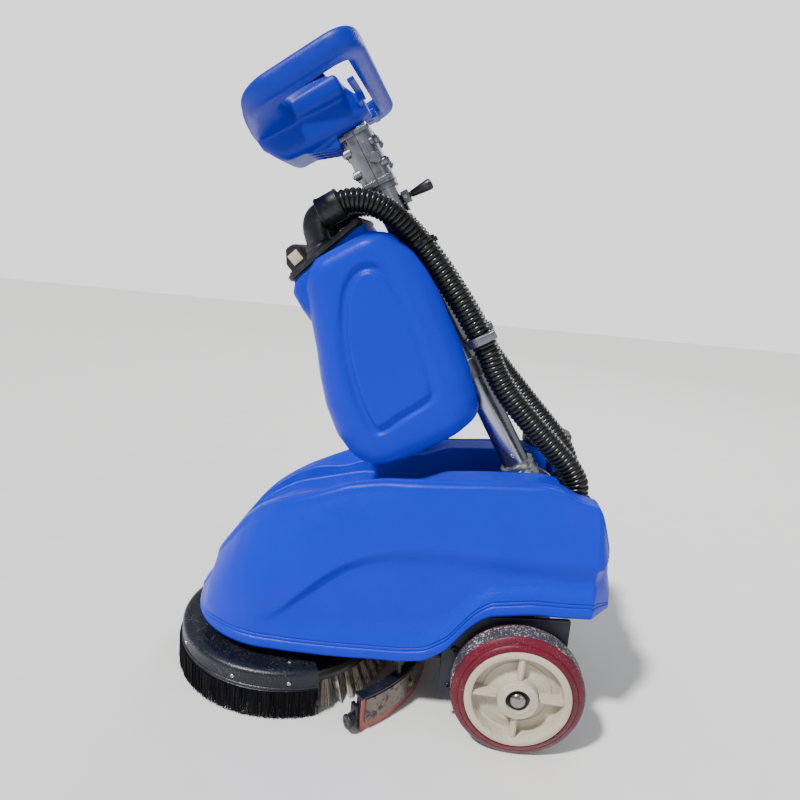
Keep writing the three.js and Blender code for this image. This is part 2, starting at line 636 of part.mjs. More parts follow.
function addHandle() {
  add(column, 'handle_shell', handleShell(), blue());
  const paddles = [-1, 1].map((side) => {
    const [y0, y1] = side < 0 ? [-148, -62] : [62, 148];
    const arm = side < 0 ? [-70, -HUB_HALF_WIDTH - 1] : [HUB_HALF_WIDTH + 1, 70];
    return [block(26, 40, y0, y1, 674, 682), block(23.6, 40, arm[0], arm[1], 667, 682)];
  });
  const [shaftX, shaftZ] = TRIGGER_SHAFT;
  const shaft = rod('y', 3.6, 124, shaftX, -62, shaftZ, 10);
  add(column, 'trigger_bar', join(...paddles.flat(), shaft), black());

  add(column, 'switch_panel', cut(slab(roundedRect(30, 44, 6, -30, 0), 732.3, 735, 4),
    block(-52, -34, -34, -10, 730, 740), block(-52, -34, 10, 34, 730, 740),
    rod('z', 8.3, 10, -14, -22, 730, 16)), black());
  add(column, 'rocker_brush', rocker(-22), maroon());
  add(column, 'rocker_vacuum', rocker(22), black());
  const barrel = turned([[0, 732.6], [8, 732.6], [8, 738], [0, 738]], 16);
  const key = join(barrel, block(-1.2, 1.2, -8, 8, 737, 752));
  add(column, 'key_switch', key.translate(-14, -22, 0), steel());
  add(column, 'charge_gauge', slab(roundedRect(8, 14, 3, -14, 18), 735.3, 737, 3), black());
}

function rocker(y) {
  const profile = [[-51, 735.4], [-35, 735.4], [-35, 741], [-43, 738.5], [-51, 741]];
  return sideSlab(profile, y - 11, y + 11);
}

// ---- Recovery tank --------------------------------------------------------------------------

// Levels up the tank: height, front, rear, half width, corner radius.
const TANK_LEVELS = [
  [172.5, -160, -52, 70, 34],
  [175, -182, -32, 88, 40],
  [182, -199, -19, 99, 46],
  [196, -214, -8, 108, 50],
  [216, -223, 0, 112, 52],
  [254, -229, 6, 115, 52],
  [301, -225, 11, 115, 52],
  [345, -215, 15, 115, 52],
  [384, -203, 17, 114, 52],
  [420, -194, 14, 113, 52],
  [450, -188, 8, 112, 54],
  [474, -178, -5, 112, 48],
  [489, -160, -14, 110, 40],
  [498, -146, -26, 104, 34],
  [503, -130, -40, 94, 28],
];

function tankSection([z, front, rear, halfWidth, radius], inset) {
  const halfLength = (rear - front) / 2 - inset;
  const outline = roundedPoints(halfLength, halfWidth - inset, radius - inset, (front + rear) / 2, 0);
  return outline.map((p) => new THREE.Vector3(p.x, p.y, z));
}

// Carries a geometry made in the lid's own frame into the column frame.
function fromLid(geometry) {
  geometry.rotateY(-LID_SLOPE);
  return geometry.translate(LID_CENTRE.x, LID_CENTRE.y, LID_CENTRE.z);
}

// The neck swells a little below the lid, most of all at the front. Each row holds its height in
// the lid's frame, front, rear and half width.
const NECK_LEVELS = [[-60, -82, 68.5, 80], [-12, -79, 68.5, 80], [0, -NECK_HALF_LENGTH, 68.5, 78]];

function neckOutside() {
  const sections = NECK_LEVELS.map(([z, front, rear, halfWidth]) => {
    const outline = roundedPoints((rear - front) / 2, halfWidth, 20, (front + rear) / 2, 0);
    return outline.map((p) => new THREE.Vector3(p.x, p.y, z));
  });
  return fromLid(loft(sections, (point) => new THREE.Vector2(point.x, point.y)));
}

function neckBore() {
  const wall = 8;
  const outline = roundedRect(NECK_HALF_LENGTH - wall, NECK_HALF_WIDTH - wall, 16);
  return fromLid(slab(outline, -58, 10, 5));
}

function tankShell() {
  const flatten = (point) => new THREE.Vector2(point.x, point.y);
  const outer = loft(TANK_LEVELS.map((row) => tankSection(row, 0)), flatten);
  const levels = TANK_LEVELS.filter((row, i) => i % 2 === 1).map((row) => tankSection(row, TANK_SKIN));
  const inner = loft(levels, flatten);
  const aboveLid = fromLid(block(-95, 95, -84, 84, 0, 30));
  const outside = join(cut(outer, aboveLid), neckOutside());
  const recess = block(-10, 60, -72, 72, 150, 560);
  const groove = rod('z', TUBE_RADIUS + 5, 420, 0, 0, 150, 20);
  const solid = cut(outside, recess, groove);
  const keepRear = [block(-16, 60, -78, 78, 150, 560), rod('z', TUBE_RADIUS + 10, 420, 0, 0, 150, 16)];
  const cavity = join(cut(inner, ...keepRear), neckBore());
  return cut(solid, cavity);
}

function addTank() {
  add(column, 'recovery_tank', tankShell(), blue());
  const ring = roundedRect(NECK_HALF_LENGTH, NECK_HALF_WIDTH, 20);
  ring.holes.push(new THREE.Path(roundedPoints(NECK_HALF_LENGTH - 7, NECK_HALF_WIDTH - 7, 15)));
  add(lidGroup, 'lid_gasket', slab(ring, GAP, 2.3, 5), black());
  const lidOutline = roundedRect(NECK_HALF_LENGTH + 3, NECK_HALF_WIDTH + 3, 22);
  add(lidGroup, 'tank_lid', slab(lidOutline, 2.6, 11.5, 5), black());
  const box = join(block(-62, -36, -44, 44, 11.8, 40), block(-56, -38, -38, 38, 39, 50));
  add(lidGroup, 'lid_box', box, black());
  add(lidGroup, 'float_cage', sleeve('z', 19, 16, 62, 20, 0, -60, 14), black());
  add(lidGroup, 'float_ball', new THREE.SphereGeometry(14, 12, 8).translate(20, 0, -44), beige());
  const band = sleeve('z', TUBE_RADIUS + 3.5, TUBE_RADIUS + 0.1, 32, 0, 0, 230, 24);
  const wings = block(-9.6, -6.6, -62, 62, 232, 260);
  const bore = rod('z', TUBE_RADIUS + GAP, 60, 0, 0, 220, 24);
  add(column, 'tank_bracket', cut(join(band, wings), bore), aluminium());
}

// ---- Hoses ----------------------------------------------------------------------------------

// Route of a hose in the column frame, from the lid elbow down to the tie on the column.
const HOSE_UPPER = [[-82, 561], [-72, 561], [-60, 561], [-40, 555], [-20, 541], [-3, 518], [8, 492],
  [18, 455], [27, 410], [34, 355], [38, 305], [38, 288], [38, 270]];

// From the tie down to the ports. The near hose hugs the column more than the far one.
const HOSE_LOWER = {
  left: [[38, 269.4], [38, 253], [36, 228], [39, 185], [51, 130], [64, 80], [73, 46], [74, 14], [64, -7]],
  right: [[38, 269.4], [38, 252], [42, 225], [50, 185], [62, 130], [73, 80], [78, 46], [75, 14], [64, -7]],
};

function hose(route, side, steps) {
  const points = route.map(([x, z]) => new THREE.Vector3(x, side * HOSE_Y, z));
  return bar(points, HOSE_RADIUS, steps, 8);
}

function addHoses() {
  for (const [side, label] of [[-1, 'left'], [1, 'right']]) {
    add(column, `hose_upper_${label}`, hose(HOSE_UPPER, side, 13), black());
    add(column, `hose_lower_${label}`, hose(HOSE_LOWER[label], side, 10), black());
    const flange = fromLid(rod('z', 24, 8, -6, side * HOSE_Y, 11.8, 12));
    const elbow = [[-117, 520], [-117, 530], [-113, 547], [-104, 558], [-90, 561], [-86, 561]]
      .map(([x, z]) => new THREE.Vector3(x, side * HOSE_Y, z));
    const cuff = [rod('x', 23, 12, -95, side * HOSE_Y, 561, 14),
      sleeve('x', 23, 20, 34, -94, side * HOSE_Y, 561, 14)];
    add(column, `lid_elbow_${label}`, join(flange, bar(elbow, 18.6, 5, 10), ...cuff), black());
    const port = sleeve('z', 25, 22, 10, PORT.x, side * PORT.y, PORT.z + GAP, 16);
    add(machine, `hose_port_${label}`, port, black());
  }
  const clip = cut(join(block(22.5, 50, -31, 31, 280, 292), block(30, 64, -76, -25, 280, 292),
    block(30, 64, 25, 76, 280, 292)), rod('z', HOSE_RADIUS + 1.5, 60, 38, -HOSE_Y, 260, 14),
  rod('z', HOSE_RADIUS + 1.5, 60, 38, HOSE_Y, 260, 14));
  add(column, 'hose_clip', clip, steel());
}

addBody();
addChassis();
addDeck();
addInside();
addSqueegee();
addPivot();
addColumn();
addLock();
addHandle();
addTank();
addHoses();

export default machine;
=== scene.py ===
import bisect
import json
import random
from math import copysign, cos, exp, hypot, pi, radians, sin, sqrt

import bmesh
import bpy
from mathutils import Matrix, Vector
from mathutils.geometry import tessellate_polygon
from mathutils.kdtree import KDTree


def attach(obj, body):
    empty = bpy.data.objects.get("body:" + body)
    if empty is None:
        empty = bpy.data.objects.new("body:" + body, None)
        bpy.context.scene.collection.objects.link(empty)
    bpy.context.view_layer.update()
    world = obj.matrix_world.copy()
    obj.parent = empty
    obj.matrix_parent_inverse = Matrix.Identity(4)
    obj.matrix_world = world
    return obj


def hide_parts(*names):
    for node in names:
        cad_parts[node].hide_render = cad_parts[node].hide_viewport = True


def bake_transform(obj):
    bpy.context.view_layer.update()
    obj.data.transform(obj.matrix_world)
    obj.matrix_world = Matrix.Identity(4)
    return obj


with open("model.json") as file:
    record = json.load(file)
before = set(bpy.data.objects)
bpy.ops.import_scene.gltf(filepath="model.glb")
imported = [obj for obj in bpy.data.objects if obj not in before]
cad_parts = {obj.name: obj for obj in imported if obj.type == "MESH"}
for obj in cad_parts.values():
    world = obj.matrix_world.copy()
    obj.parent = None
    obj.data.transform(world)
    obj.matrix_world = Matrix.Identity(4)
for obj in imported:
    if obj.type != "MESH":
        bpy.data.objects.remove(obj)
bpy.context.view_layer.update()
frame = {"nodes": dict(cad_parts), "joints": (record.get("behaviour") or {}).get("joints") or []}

random.seed(11)

# ---- Frame --------------------------------------------------------------------------------------

MM = Matrix.Scale(0.001, 4)
JOINTS = {joint["name"]: joint for joint in frame["joints"]}
PIVOT = Vector(JOINTS["column_fold"]["pos_m"])
COLUMN_LEAN = radians(31.8)
LID_SLOPE = radians(11.8)
COLUMN = Matrix.Translation(PIVOT) @ Matrix.Rotation(-COLUMN_LEAN, 4, "Y") @ MM
LID_MIDDLE = (-111, 0, 504)  # in the column frame
LID = COLUMN @ Matrix.Translation(LID_MIDDLE) @ Matrix.Rotation(-LID_SLOPE, 4, "Y")
BRUSH_X = -163
BRUSH = MM @ Matrix.Translation((BRUSH_X, 0, 0))
CAP_PLACE = Matrix.Translation((266, 116, 410))
TUBE_RADIUS = 22
TUBE_BORE = 22.3  # inner radius of what holds the tube
WHEEL_X = 229
WHEEL_RADIUS = 100
AXLE_HOLE = 10.3
AXES = {"x": (1, 0, 0), "y": (0, 1, 0), "z": (0, 0, 1)}
SIDES = ((-1, "left"), (1, "right"))


# ---- Shapes -------------------------------------------------------------------------------------

def smooth(t):
    t = min(1, max(0, t))
    return t * t * (3 - 2 * t)


def read_table(rows, place):
    """Straight-line reading of [place, value, ...] rows."""
    at = bisect.bisect([row[0] for row in rows], place)
    if at == 0 or at == len(rows):
        return list(rows[min(at, len(rows) - 1)][1:])
    low, high = rows[at - 1], rows[at]
    t = (place - low[0]) / (high[0] - low[0])
    return [a + (b - a) * t for a, b in zip(low[1:], high[1:])]


def read_softly(rows, place, reach):
    """The same reading with its corners rounded over reach."""
    weights = ((-1, 1), (-0.6, 2), (-0.25, 3), (0.25, 3), (0.6, 2), (1, 1))
    total = sum(weight for _, weight in weights)
    readings = [(read_table(rows, place + shift * reach), weight) for shift, weight in weights]
    return [sum(values[i] * weight for values, weight in readings) / total
        for i in range(len(rows[0]) - 1)]


def aim(origin, direction):
    """A matrix that takes +Z to direction, at origin."""
    turn = Vector(direction).to_track_quat("Z", "Y").to_matrix().to_4x4()
    return Matrix.Translation(origin) @ turn


def rounded_rect(half_x, half_y, radius, x=0.0, y=0.0, steps=8):
    points = []
    for corner in range(4):
        centre_x = x + (half_x - radius) * (-1 if corner in (1, 2) else 1)
        centre_y = y + (half_y - radius) * (-1 if corner >= 2 else 1)
        angles = [(corner + i / steps) * pi / 2 for i in range(steps + 1)]
        points += circle(radius, angles, centre_x, centre_y)
    return points


def round_corners(points, radius, steps=5):
    """A closed outline with each of its corners rounded by up to radius."""
    result = []
    count = len(points)
    for i, corner in enumerate(points):
        here = Vector(corner)
        before = Vector(points[i - 1]) - here
        after = Vector(points[(i + 1) % count]) - here
        reach = min(radius, before.length * 0.45, after.length * 0.45)
        start, end = here + before.normalized() * reach, here + after.normalized() * reach
        for k in range(steps + 1):
            t = k / steps
            point = start * (1 - t) ** 2 + here * 2 * t * (1 - t) + end * t ** 2
            result.append((point.x, point.y))
    return result


def inset_outline(points, distance):
    """Moves a closed outline towards its inside, which lies to the left of its direction."""
    count = len(points)
    result = []
    for i in range(count):
        before, here = Vector(points[i - 1]), Vector(points[i])
        after = Vector(points[(i + 1) % count])
        tangent = (here - before).normalized() + (after - here).normalized()
        if tangent.length < 1e-6:
            tangent = after - before
        tangent.normalize()
        result.append((here.x - tangent.y * distance, here.y + tangent.x * distance))
    return result


def signed_area(points):
    return sum(a[0] * b[1] - b[0] * a[1] for a, b in zip(points, points[1:] + points[:1])) / 2


def smooth_through(points, steps):
    """A Catmull-Rom curve from the second point to the last but one."""
    result = []
    for i in range(1, len(points) - 2):
        p0, p1, p2, p3 = (Vector(p) for p in points[i - 1:i + 3])
        for t in [s / steps for s in range(steps)]:
            result.append(0.5 * (2 * p1 + (p2 - p0) * t + (2 * p0 - 5 * p1 + 4 * p2 - p3) * t ** 2
                + (3 * p1 - p0 - 3 * p2 + p3) * t ** 3))
    return result


def circle(radius, angles, x=0.0, y=0.0):
    """Points at the angles on a circle about (x, y)."""
    return [(x + radius * cos(angle), y + radius * sin(angle)) for angle in angles]


def span(side, near, far):
    """Low and high y of a stretch given by its distances from the middle."""
    return sorted((side * near, side * far))


def quarter(steps):
    """Cosine and sine at each step of a quarter turn, after its start."""
    turns = [pi / 2 * i / steps for i in range(1, steps + 1)]
    return [(cos(turn), sin(turn)) for turn in turns]


class Shape:
    """Vertices and faces in millimetres, gathered from several closed forms."""

    def __init__(self):
        self.verts = []
        self.faces = []

    def add(self, verts, faces, matrix=None):
        base = len(self.verts)
        matrix = matrix or Matrix.Identity(4)
        self.verts += [matrix @ Vector(v) for v in verts]
        self.faces += [tuple(base + i for i in face) for face in faces]
        return self

    def rings(self, rings, matrix=None):
        """A skin over rings of equally many points, with a face over each end."""
        count = len(rings[0])
        last = (len(rings) - 1) * count
        verts = [v for ring in rings for v in ring]
        faces = []
        for here in range(0, last, count):
            there = here + count
            for k in range(count):
                after = (k + 1) % count
                faces.append((here + k, here + after, there + after, there + k))
        faces.append(tuple(reversed(range(count))))
        faces.append(tuple(range(last, last + count)))
        return self.add(verts, faces, matrix)

    def lathe(self, profile, steps, matrix=None):
        """Turned about +Z. The (radius, height) profile ends on the axis or closes on itself."""
        on_axis = profile[0][0] == 0 and profile[-1][0] == 0
        body = profile[1:-1] if on_axis else profile
        verts = []
        for i in range(steps):
            angle = 2 * pi * i / steps
            verts += [(r * cos(angle), r * sin(angle), z) for r, z in body]
        count = len(body)
        faces = []
        for i in range(steps):
            here, there = i * count, ((i + 1) % steps) * count
            for k in range(count if not on_axis else count - 1):
                after = (k + 1) % count
                faces.append((here + k, here + after, there + after, there + k))
            if on_axis:
                faces.append((steps * count, here, there))
                faces.append((steps * count + 1, there + count - 1, here + count - 1))
        if on_axis:
            verts += [(0, 0, profile[0][1]), (0, 0, profile[-1][1])]
        return self.add(verts, faces, matrix)

    def rod(self, axis, radius, length, x, y, z, edge=0.5, steps=32):
        """A round bar from (x, y, z) along x, y or z, with small chamfers."""
        profile = [(0, 0), (radius - edge, 0), (radius, edge), (radius, length - edge),
            (radius - edge, length), (0, length)]
        return self.lathe(profile, steps, aim((x, y, z), AXES[axis]))

    def ring(self, axis, outer, inner, length, x, y, z, edge=0.5, steps=48):
        """A round collar from (x, y, z) along x, y or z, with small chamfers."""
        profile = [(inner, edge), (inner + edge, 0), (outer - edge, 0), (outer, edge),
            (outer, length - edge), (outer - edge, length), (inner + edge, length),
            (inner, length - edge)]
        return self.lathe(profile, steps, aim((x, y, z), AXES[axis]))

    def arc(self, profile, start, end, steps, matrix=None):
        """A closed (radius, height) profile swept about +Z from start to end, with flat ends."""
        rings = []
        for i in range(steps + 1):
            angle = start + (end - start) * i / steps
            rings.append([(r * cos(angle), r * sin(angle), z) for r, z in profile])
        return self.rings(rings, matrix)

    def sweep(self, points, radius_at, sides):
        """A round bar along points; radius_at gives the radius at each point's number."""
        points = [Vector(p) for p in points]
        normal = None
        rings = []
        for i, point in enumerate(points):
            tangent = (points[min(i + 1, len(points) - 1)] - points[max(i - 1, 0)]).normalized()
            if normal is None:
                normal = tangent.orthogonal().normalized()
            normal = (normal - tangent * normal.dot(tangent)).normalized()
            across = tangent.cross(normal)
            radius = radius_at(i)
            turn = [2 * pi * k / sides for k in range(sides)]
            rings.append([point + (normal * cos(a) + across * sin(a)) * radius for a in turn])
        return self.rings(rings)

    def plate(self, outline, z0, z1, edge, holes=(), steps=4, matrix=None):
        """A flat plate with rounded edges, and holes that go right through."""
        loops = [list(outline)] + [list(hole) for hole in holes]
        for n, loop in enumerate(loops):
            wanted = 1 if n == 0 else -1
            if signed_area(loop) * wanted < 0:
                loop.reverse()
        levels = []
        for k in range(steps + 1):
            angle = pi / 2 * k / steps
            levels.append((edge * (1 - sin(angle)), z0 + edge * (1 - cos(angle))))
        levels += [(d, z0 + z1 - z) for d, z in reversed(levels)]
        verts, faces, bottoms, tops = [], [], [], []
        for loop in loops:
            base = len(verts)
            count = len(loop)
            for distance, z in levels:
                verts += [(x, y, z) for x, y in inset_outline(loop, distance)]
            for r in range(len(levels) - 1):
                for k in range(count):
                    after = (k + 1) % count
                    a = base + r * count
                    faces.append((a + k, a + after, a + count + after, a + count + k))
            bottoms.append(list(range(base, base + count)))
            tops.append(list(range(base + (len(levels) - 1) * count, base + len(levels) * count)))
        for group, flip in ((bottoms, True), (tops, False)):
            order = [i for loop in group for i in loop]
            filled = tessellate_polygon([[Vector(verts[i]) for i in loop] for loop in group])
            for a, b, c in filled:
                tri = (order[a], order[b], order[c])
                faces.append(tri[::-1] if flip else tri)
        return self.add(verts, faces, matrix)

    def box(self, x0, x1, y0, y1, z0, z1, edge=1.0, matrix=None):
        outline = rounded_rect((x1 - x0) / 2, (y1 - y0) / 2, edge * 1.01, (x0 + x1) / 2, (y0 + y1) / 2, 4)
        return self.plate(outline, z0, z1, edge * 0.7, matrix=matrix, steps=3)

    def side_plate(self, outline, y0, y1, edge):
        """An outline of (x, z) pairs, from y0 to y1."""
        stand = Matrix(((1, 0, 0, 0), (0, 0, -1, 0), (0, 1, 0, 0), (0, 0, 0, 1)))
        return self.plate(outline, -y1, -y0, edge, matrix=stand)

    def screw(self, at, direction, radius=4.0):
        """A pan-head screw with a socket in its head."""
        head = [(0, radius * 0.1), (radius * 0.42, radius * 0.1), (radius * 0.46, radius * 0.62),
            (radius * 0.7, radius * 0.58), (radius * 0.93, radius * 0.38), (radius, radius * 0.08),
            (radius, -radius * 0.3), (0, -radius * 0.3)]
        return self.lathe(head, 24, aim(at, direction))


def new_object(name, data):
    obj = bpy.data.objects.new(name, data)
    bpy.context.scene.collection.objects.link(obj)
    return obj


def piece(name, shape, place, look, nodes=(), body="root", sharp=38):
    """Makes one visible piece, brings it into the frame and rides it on its body."""
    mesh = bpy.data.meshes.new(name)
    mesh.from_pydata([place @ Vector(v) for v in shape.verts], [], shape.faces)
    work = bmesh.new()
    work.from_mesh(mesh)
    bmesh.ops.remove_doubles(work, verts=work.verts, dist=1e-6)
    bmesh.ops.dissolve_degenerate(work, edges=work.edges, dist=1e-7)
    bmesh.ops.recalc_face_normals(work, faces=work.faces)
    work.to_mesh(mesh)
    work.free()
    for polygon in mesh.polygons:
        polygon.use_smooth = True
    mesh.set_sharp_from_angle(angle=radians(sharp))
    obj = new_object(name, mesh)
    mesh.materials.append(look)
    if nodes:
        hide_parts(*nodes)
    if body:
        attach(obj, body)
    return obj


def assign(thing, settings):
    for setting, value in settings.items():
        setattr(thing, setting, value)


def modify(obj, name, kind, apply=True, **settings):
    assign(obj.modifiers.new(name, kind), settings)
    if apply:
        bpy.context.view_layer.objects.active = obj
        bpy.ops.object.modifier_apply(modifier=name)


# ---- Materials ----------------------------------------------------------------------------------

def surface(name, color, roughness, metallic=0.0, grain=(0.15, 1.4), mottle=0.12, spread=0.08,
            gloss=0.4, specks=None):
    """A procedural finish: colour that drifts, roughness that varies, grain (strength, size in
    mm), and specks (colour, size in mm, share) where the real surface is soiled or scuffed; on
    the tread the pale specks are dust and painted glints."""
    look = bpy.data.materials.new(name)
    look.use_nodes = True
    nodes, links = look.node_tree.nodes, look.node_tree.links
    shader = nodes["Principled BSDF"]
    shader.inputs["Metallic"].default_value = metallic
    shader.inputs["Specular IOR Level"].default_value = gloss

    def add(kind, values=(), **sources):
        """A new node; values sets its sockets by name, and sources links outputs to them."""
        node = nodes.new("ShaderNode" + kind)
        for socket, number in dict(values).items():
            node.inputs[socket].default_value = number
        for socket, source in sources.items():
            links.new(source, node.inputs[socket])
        return node

    place = add("TexCoord").outputs["Object"]

    def noise(scale, detail):
        return add("TexNoise", {"Scale": scale, "Detail": detail}, Vector=place).outputs["Fac"]

    def ramp(value, low, high, from_low=0.3, from_high=0.7):
        limits = {"From Min": from_low, "From Max": from_high, "To Min": low, "To Max": high}
        return add("MapRange", limits, Value=value).outputs["Result"]

    def mix(share, first, second):
        node = add("Mix")
        node.data_type = "RGBA"
        links.new(share, node.inputs[0])
        for socket, value in zip(node.inputs[6:8], (first, second)):  # its two colours
            if isinstance(value, tuple):
                socket.default_value = value
            else:
                links.new(value, socket)
        return node.outputs[2]

    darker = tuple(c * (1 - mottle) for c in color) + (1,)
    lighter = tuple(min(1, c * (1 + mottle * 0.7)) for c in color) + (1,)
    tint = mix(ramp(noise(14, 4), 0, 1), darker, lighter)
    rough = ramp(noise(60, 5), max(0.05, roughness - spread), min(1, roughness + spread))
    if specks:
        speck_color, size, amount = specks
        spots = noise(1000 / size, 4)
        blend = add("Math")
        links.new(spots, blend.inputs[0])
        links.new(ramp(noise(22, 3), -0.06, 0.06), blend.inputs[1])
        edge = 0.62 - 0.24 * amount
        tint = mix(ramp(blend.outputs[0], 0, 1, edge, edge + 0.1), tint, speck_color + (1,))
    links.new(tint, shader.inputs["Base Color"])
    links.new(rough, shader.inputs["Roughness"])
    if grain:
        strength, size = grain
        bump = add("Bump", {"Strength": strength, "Distance": 0.0006}, Height=noise(1000 / size, 2))
        links.new(bump.outputs["Normal"], shader.inputs["Normal"])
    return look


BLUE = surface("blue_polyethylene", (0.0, 0.017, 0.52), 0.34, 0, (0.7, 1.7), 0.03, 0.04, 0.16)
HANDLE_BLUE = surface("blue_handle", (0.0, 0.014, 0.37), 0.4, 0, (0.5, 1.3), 0.05, 0.05, 0.3)
BLACK = surface("black_plastic", (0.012, 0.013, 0.018), 0.36, 0, (0.3, 1.6), 0.3,
    specks=((0.035, 0.035, 0.04), 6, 0.2))
DECK_BLACK = surface("black_deck", (0.005, 0.007, 0.015), 0.33, 0, (0.7, 2.2), 0.4,
    specks=((0.07, 0.07, 0.08), 2.2, 0.08))
STEEL_BLACK = surface("black_powder_coat", (0.006, 0.008, 0.017), 0.42, 0, (0.25, 1.0), 0.3)
CAST = surface("cast_aluminium", (0.22, 0.23, 0.26), 0.36, 0.92, (0.3, 1.2), 0.25, 0.12)
BRIGHT_CAST = surface("bright_cast_aluminium", (0.45, 0.46, 0.49), 0.3, 0.92, (0.2, 1.2), 0.15)
TUBE = surface("brushed_tube", (0.36, 0.38, 0.43), 0.24, 0.95, None, 0.12, 0.05)
STEEL = surface("stainless_steel", (0.3, 0.28, 0.26), 0.34, 0.85, (0.15, 2.0), 0.3,
    specks=((0.05, 0.042, 0.038), 7, 0.25))
BRIGHT_STEEL = surface("bright_steel", (0.6, 0.6, 0.6), 0.18, 1.0, (0.05, 1.4), 0.15)
AXLE_STEEL = surface("axle_steel", (0.32, 0.3, 0.27), 0.22, 1.0, (0.1, 1.4), 0.3)
MAROON = surface("maroon_polyurethane", (0.095, 0.002, 0.012), 0.42, 0, (0.12, 4.0), 0.22, gloss=0.3,
    specks=((0.3, 0.1, 0.12), 1.6, 0.02))
# The tread's pale specks are dust and painted glints, bright spots of colour that stand in for sunlit
# sparkle.
TREAD = surface("tread_dust_and_painted_glints", (0.035, 0.035, 0.045), 0.7, 0, (1.0, 2.4), 0.5,
    specks=((0.6, 0.57, 0.53), 2.6, 0.16))
BEIGE = surface("beige_hub", (0.48, 0.43, 0.33), 0.5, 0, (0.22, 3.0), 0.1,
    specks=((0.36, 0.33, 0.26), 5.0, 0.1))
HOSE = surface("black_hose", (0.007, 0.008, 0.01), 0.26, 0, (0.1, 2.0), 0.3)
BRISTLE = surface("black_bristles", (0.004, 0.004, 0.007), 0.7, 0, None, 0.6, gloss=0.12)
TUFT = surface("used_tufts", (0.56, 0.5, 0.41), 0.6, 0, None, 0.4, specks=((0.2, 0.17, 0.14), 9, 0.3))
STRAP = surface("stained_strap", (0.16, 0.13, 0.11), 0.36, 0.7, (0.3, 2.0), 0.4,
    specks=((0.05, 0.038, 0.034), 9, 0.3))
BLADE = surface("red_squeegee_rubber", (0.34, 0.1, 0.085), 0.55, 0, (0.3, 1.5), 0.25,
    specks=((0.16, 0.06, 0.05), 4, 0.25))
PATCH = surface("blank_patch", (0.6, 0.5, 0.37), 0.5, 0, (0.2, 1.4), 0.2)
NATURAL = surface("natural_polyethylene", (0.66, 0.66, 0.62), 0.45, 0, (0.2, 1.4))
DARK_METAL = surface("motor_paint", (0.012, 0.012, 0.016), 0.45, 0, (0.25, 1.4))
PANEL = surface("panel_black", (0.012, 0.012, 0.014), 0.25, 0, (0.12, 1.4), 0.2)
RED = surface("red_rocker", (0.4, 0.012, 0.012), 0.3, 0, (0.1, 1.4))


# ---- Body moulding ------------------------------------------------------------------------------

# Stations along X: top of the side rims, floor of the channel between them, bottom edge.
BODY_STATIONS = [
    [-320, 118, 118, 102], [-315, 132, 132, 102], [-307, 144, 144, 102], [-293, 164, 163, 102],
    [-287, 200, 198, 102], [-266, 231, 225, 102], [-223, 290, 274, 102], [-173, 322, 300, 102],
    [-60, 371, 332, 105], [0, 385, 337, 109], [50, 391, 335, 112], [85, 394, 330, 118],
    [118, 397, 315, 141], [134, 399, 300, 165], [152, 401, 300, 189], [175, 403, 300, 207],
    [240, 408, 300, 219], [268, 402, 300, 220], [277, 397, 362, 220], [291, 390, 362, 221],
    [326, 383, 362, 224], [350, 306, 305, 225], [356, 262, 261, 225]]
# The fender's crease along the side: place along X, height.
CREASE = [[-321, 116], [-200, 140], [-150, 168], [-128, 190], [-98, 220], [-54, 256], [5, 284], [63, 298],
    [122, 303], [330, 306]]
NOSE_RADIUS = 158
NOSE_TIP = -320.9
TAIL = 356
BAND_LINES = (15.5, 21.5)  # heights of the two grooves above the bottom edge
RIM_LINES = (3.5, 10.0)  # and of the two on the shoulder, in from its edge
RIM_WIDTH = 68
# Heights of the section's points over the bottom edge and about the crease, on a full-size side.
BAND_HEIGHTS = (0, 3, 8, 12, 13.6, 14.6, 15.5, 16.4, 17.4, 18.5, 19.6, 20.6, 21.5, 22.4, 23.4, 25, 28)
CREASE_HEIGHTS = (-19, -16, -12, -9, -6, -4, -2, 0, 2, 4, 7, 10)


def groove(distance, width=1.3, depth=1.7):
    return depth * exp(-(distance / width) ** 2)


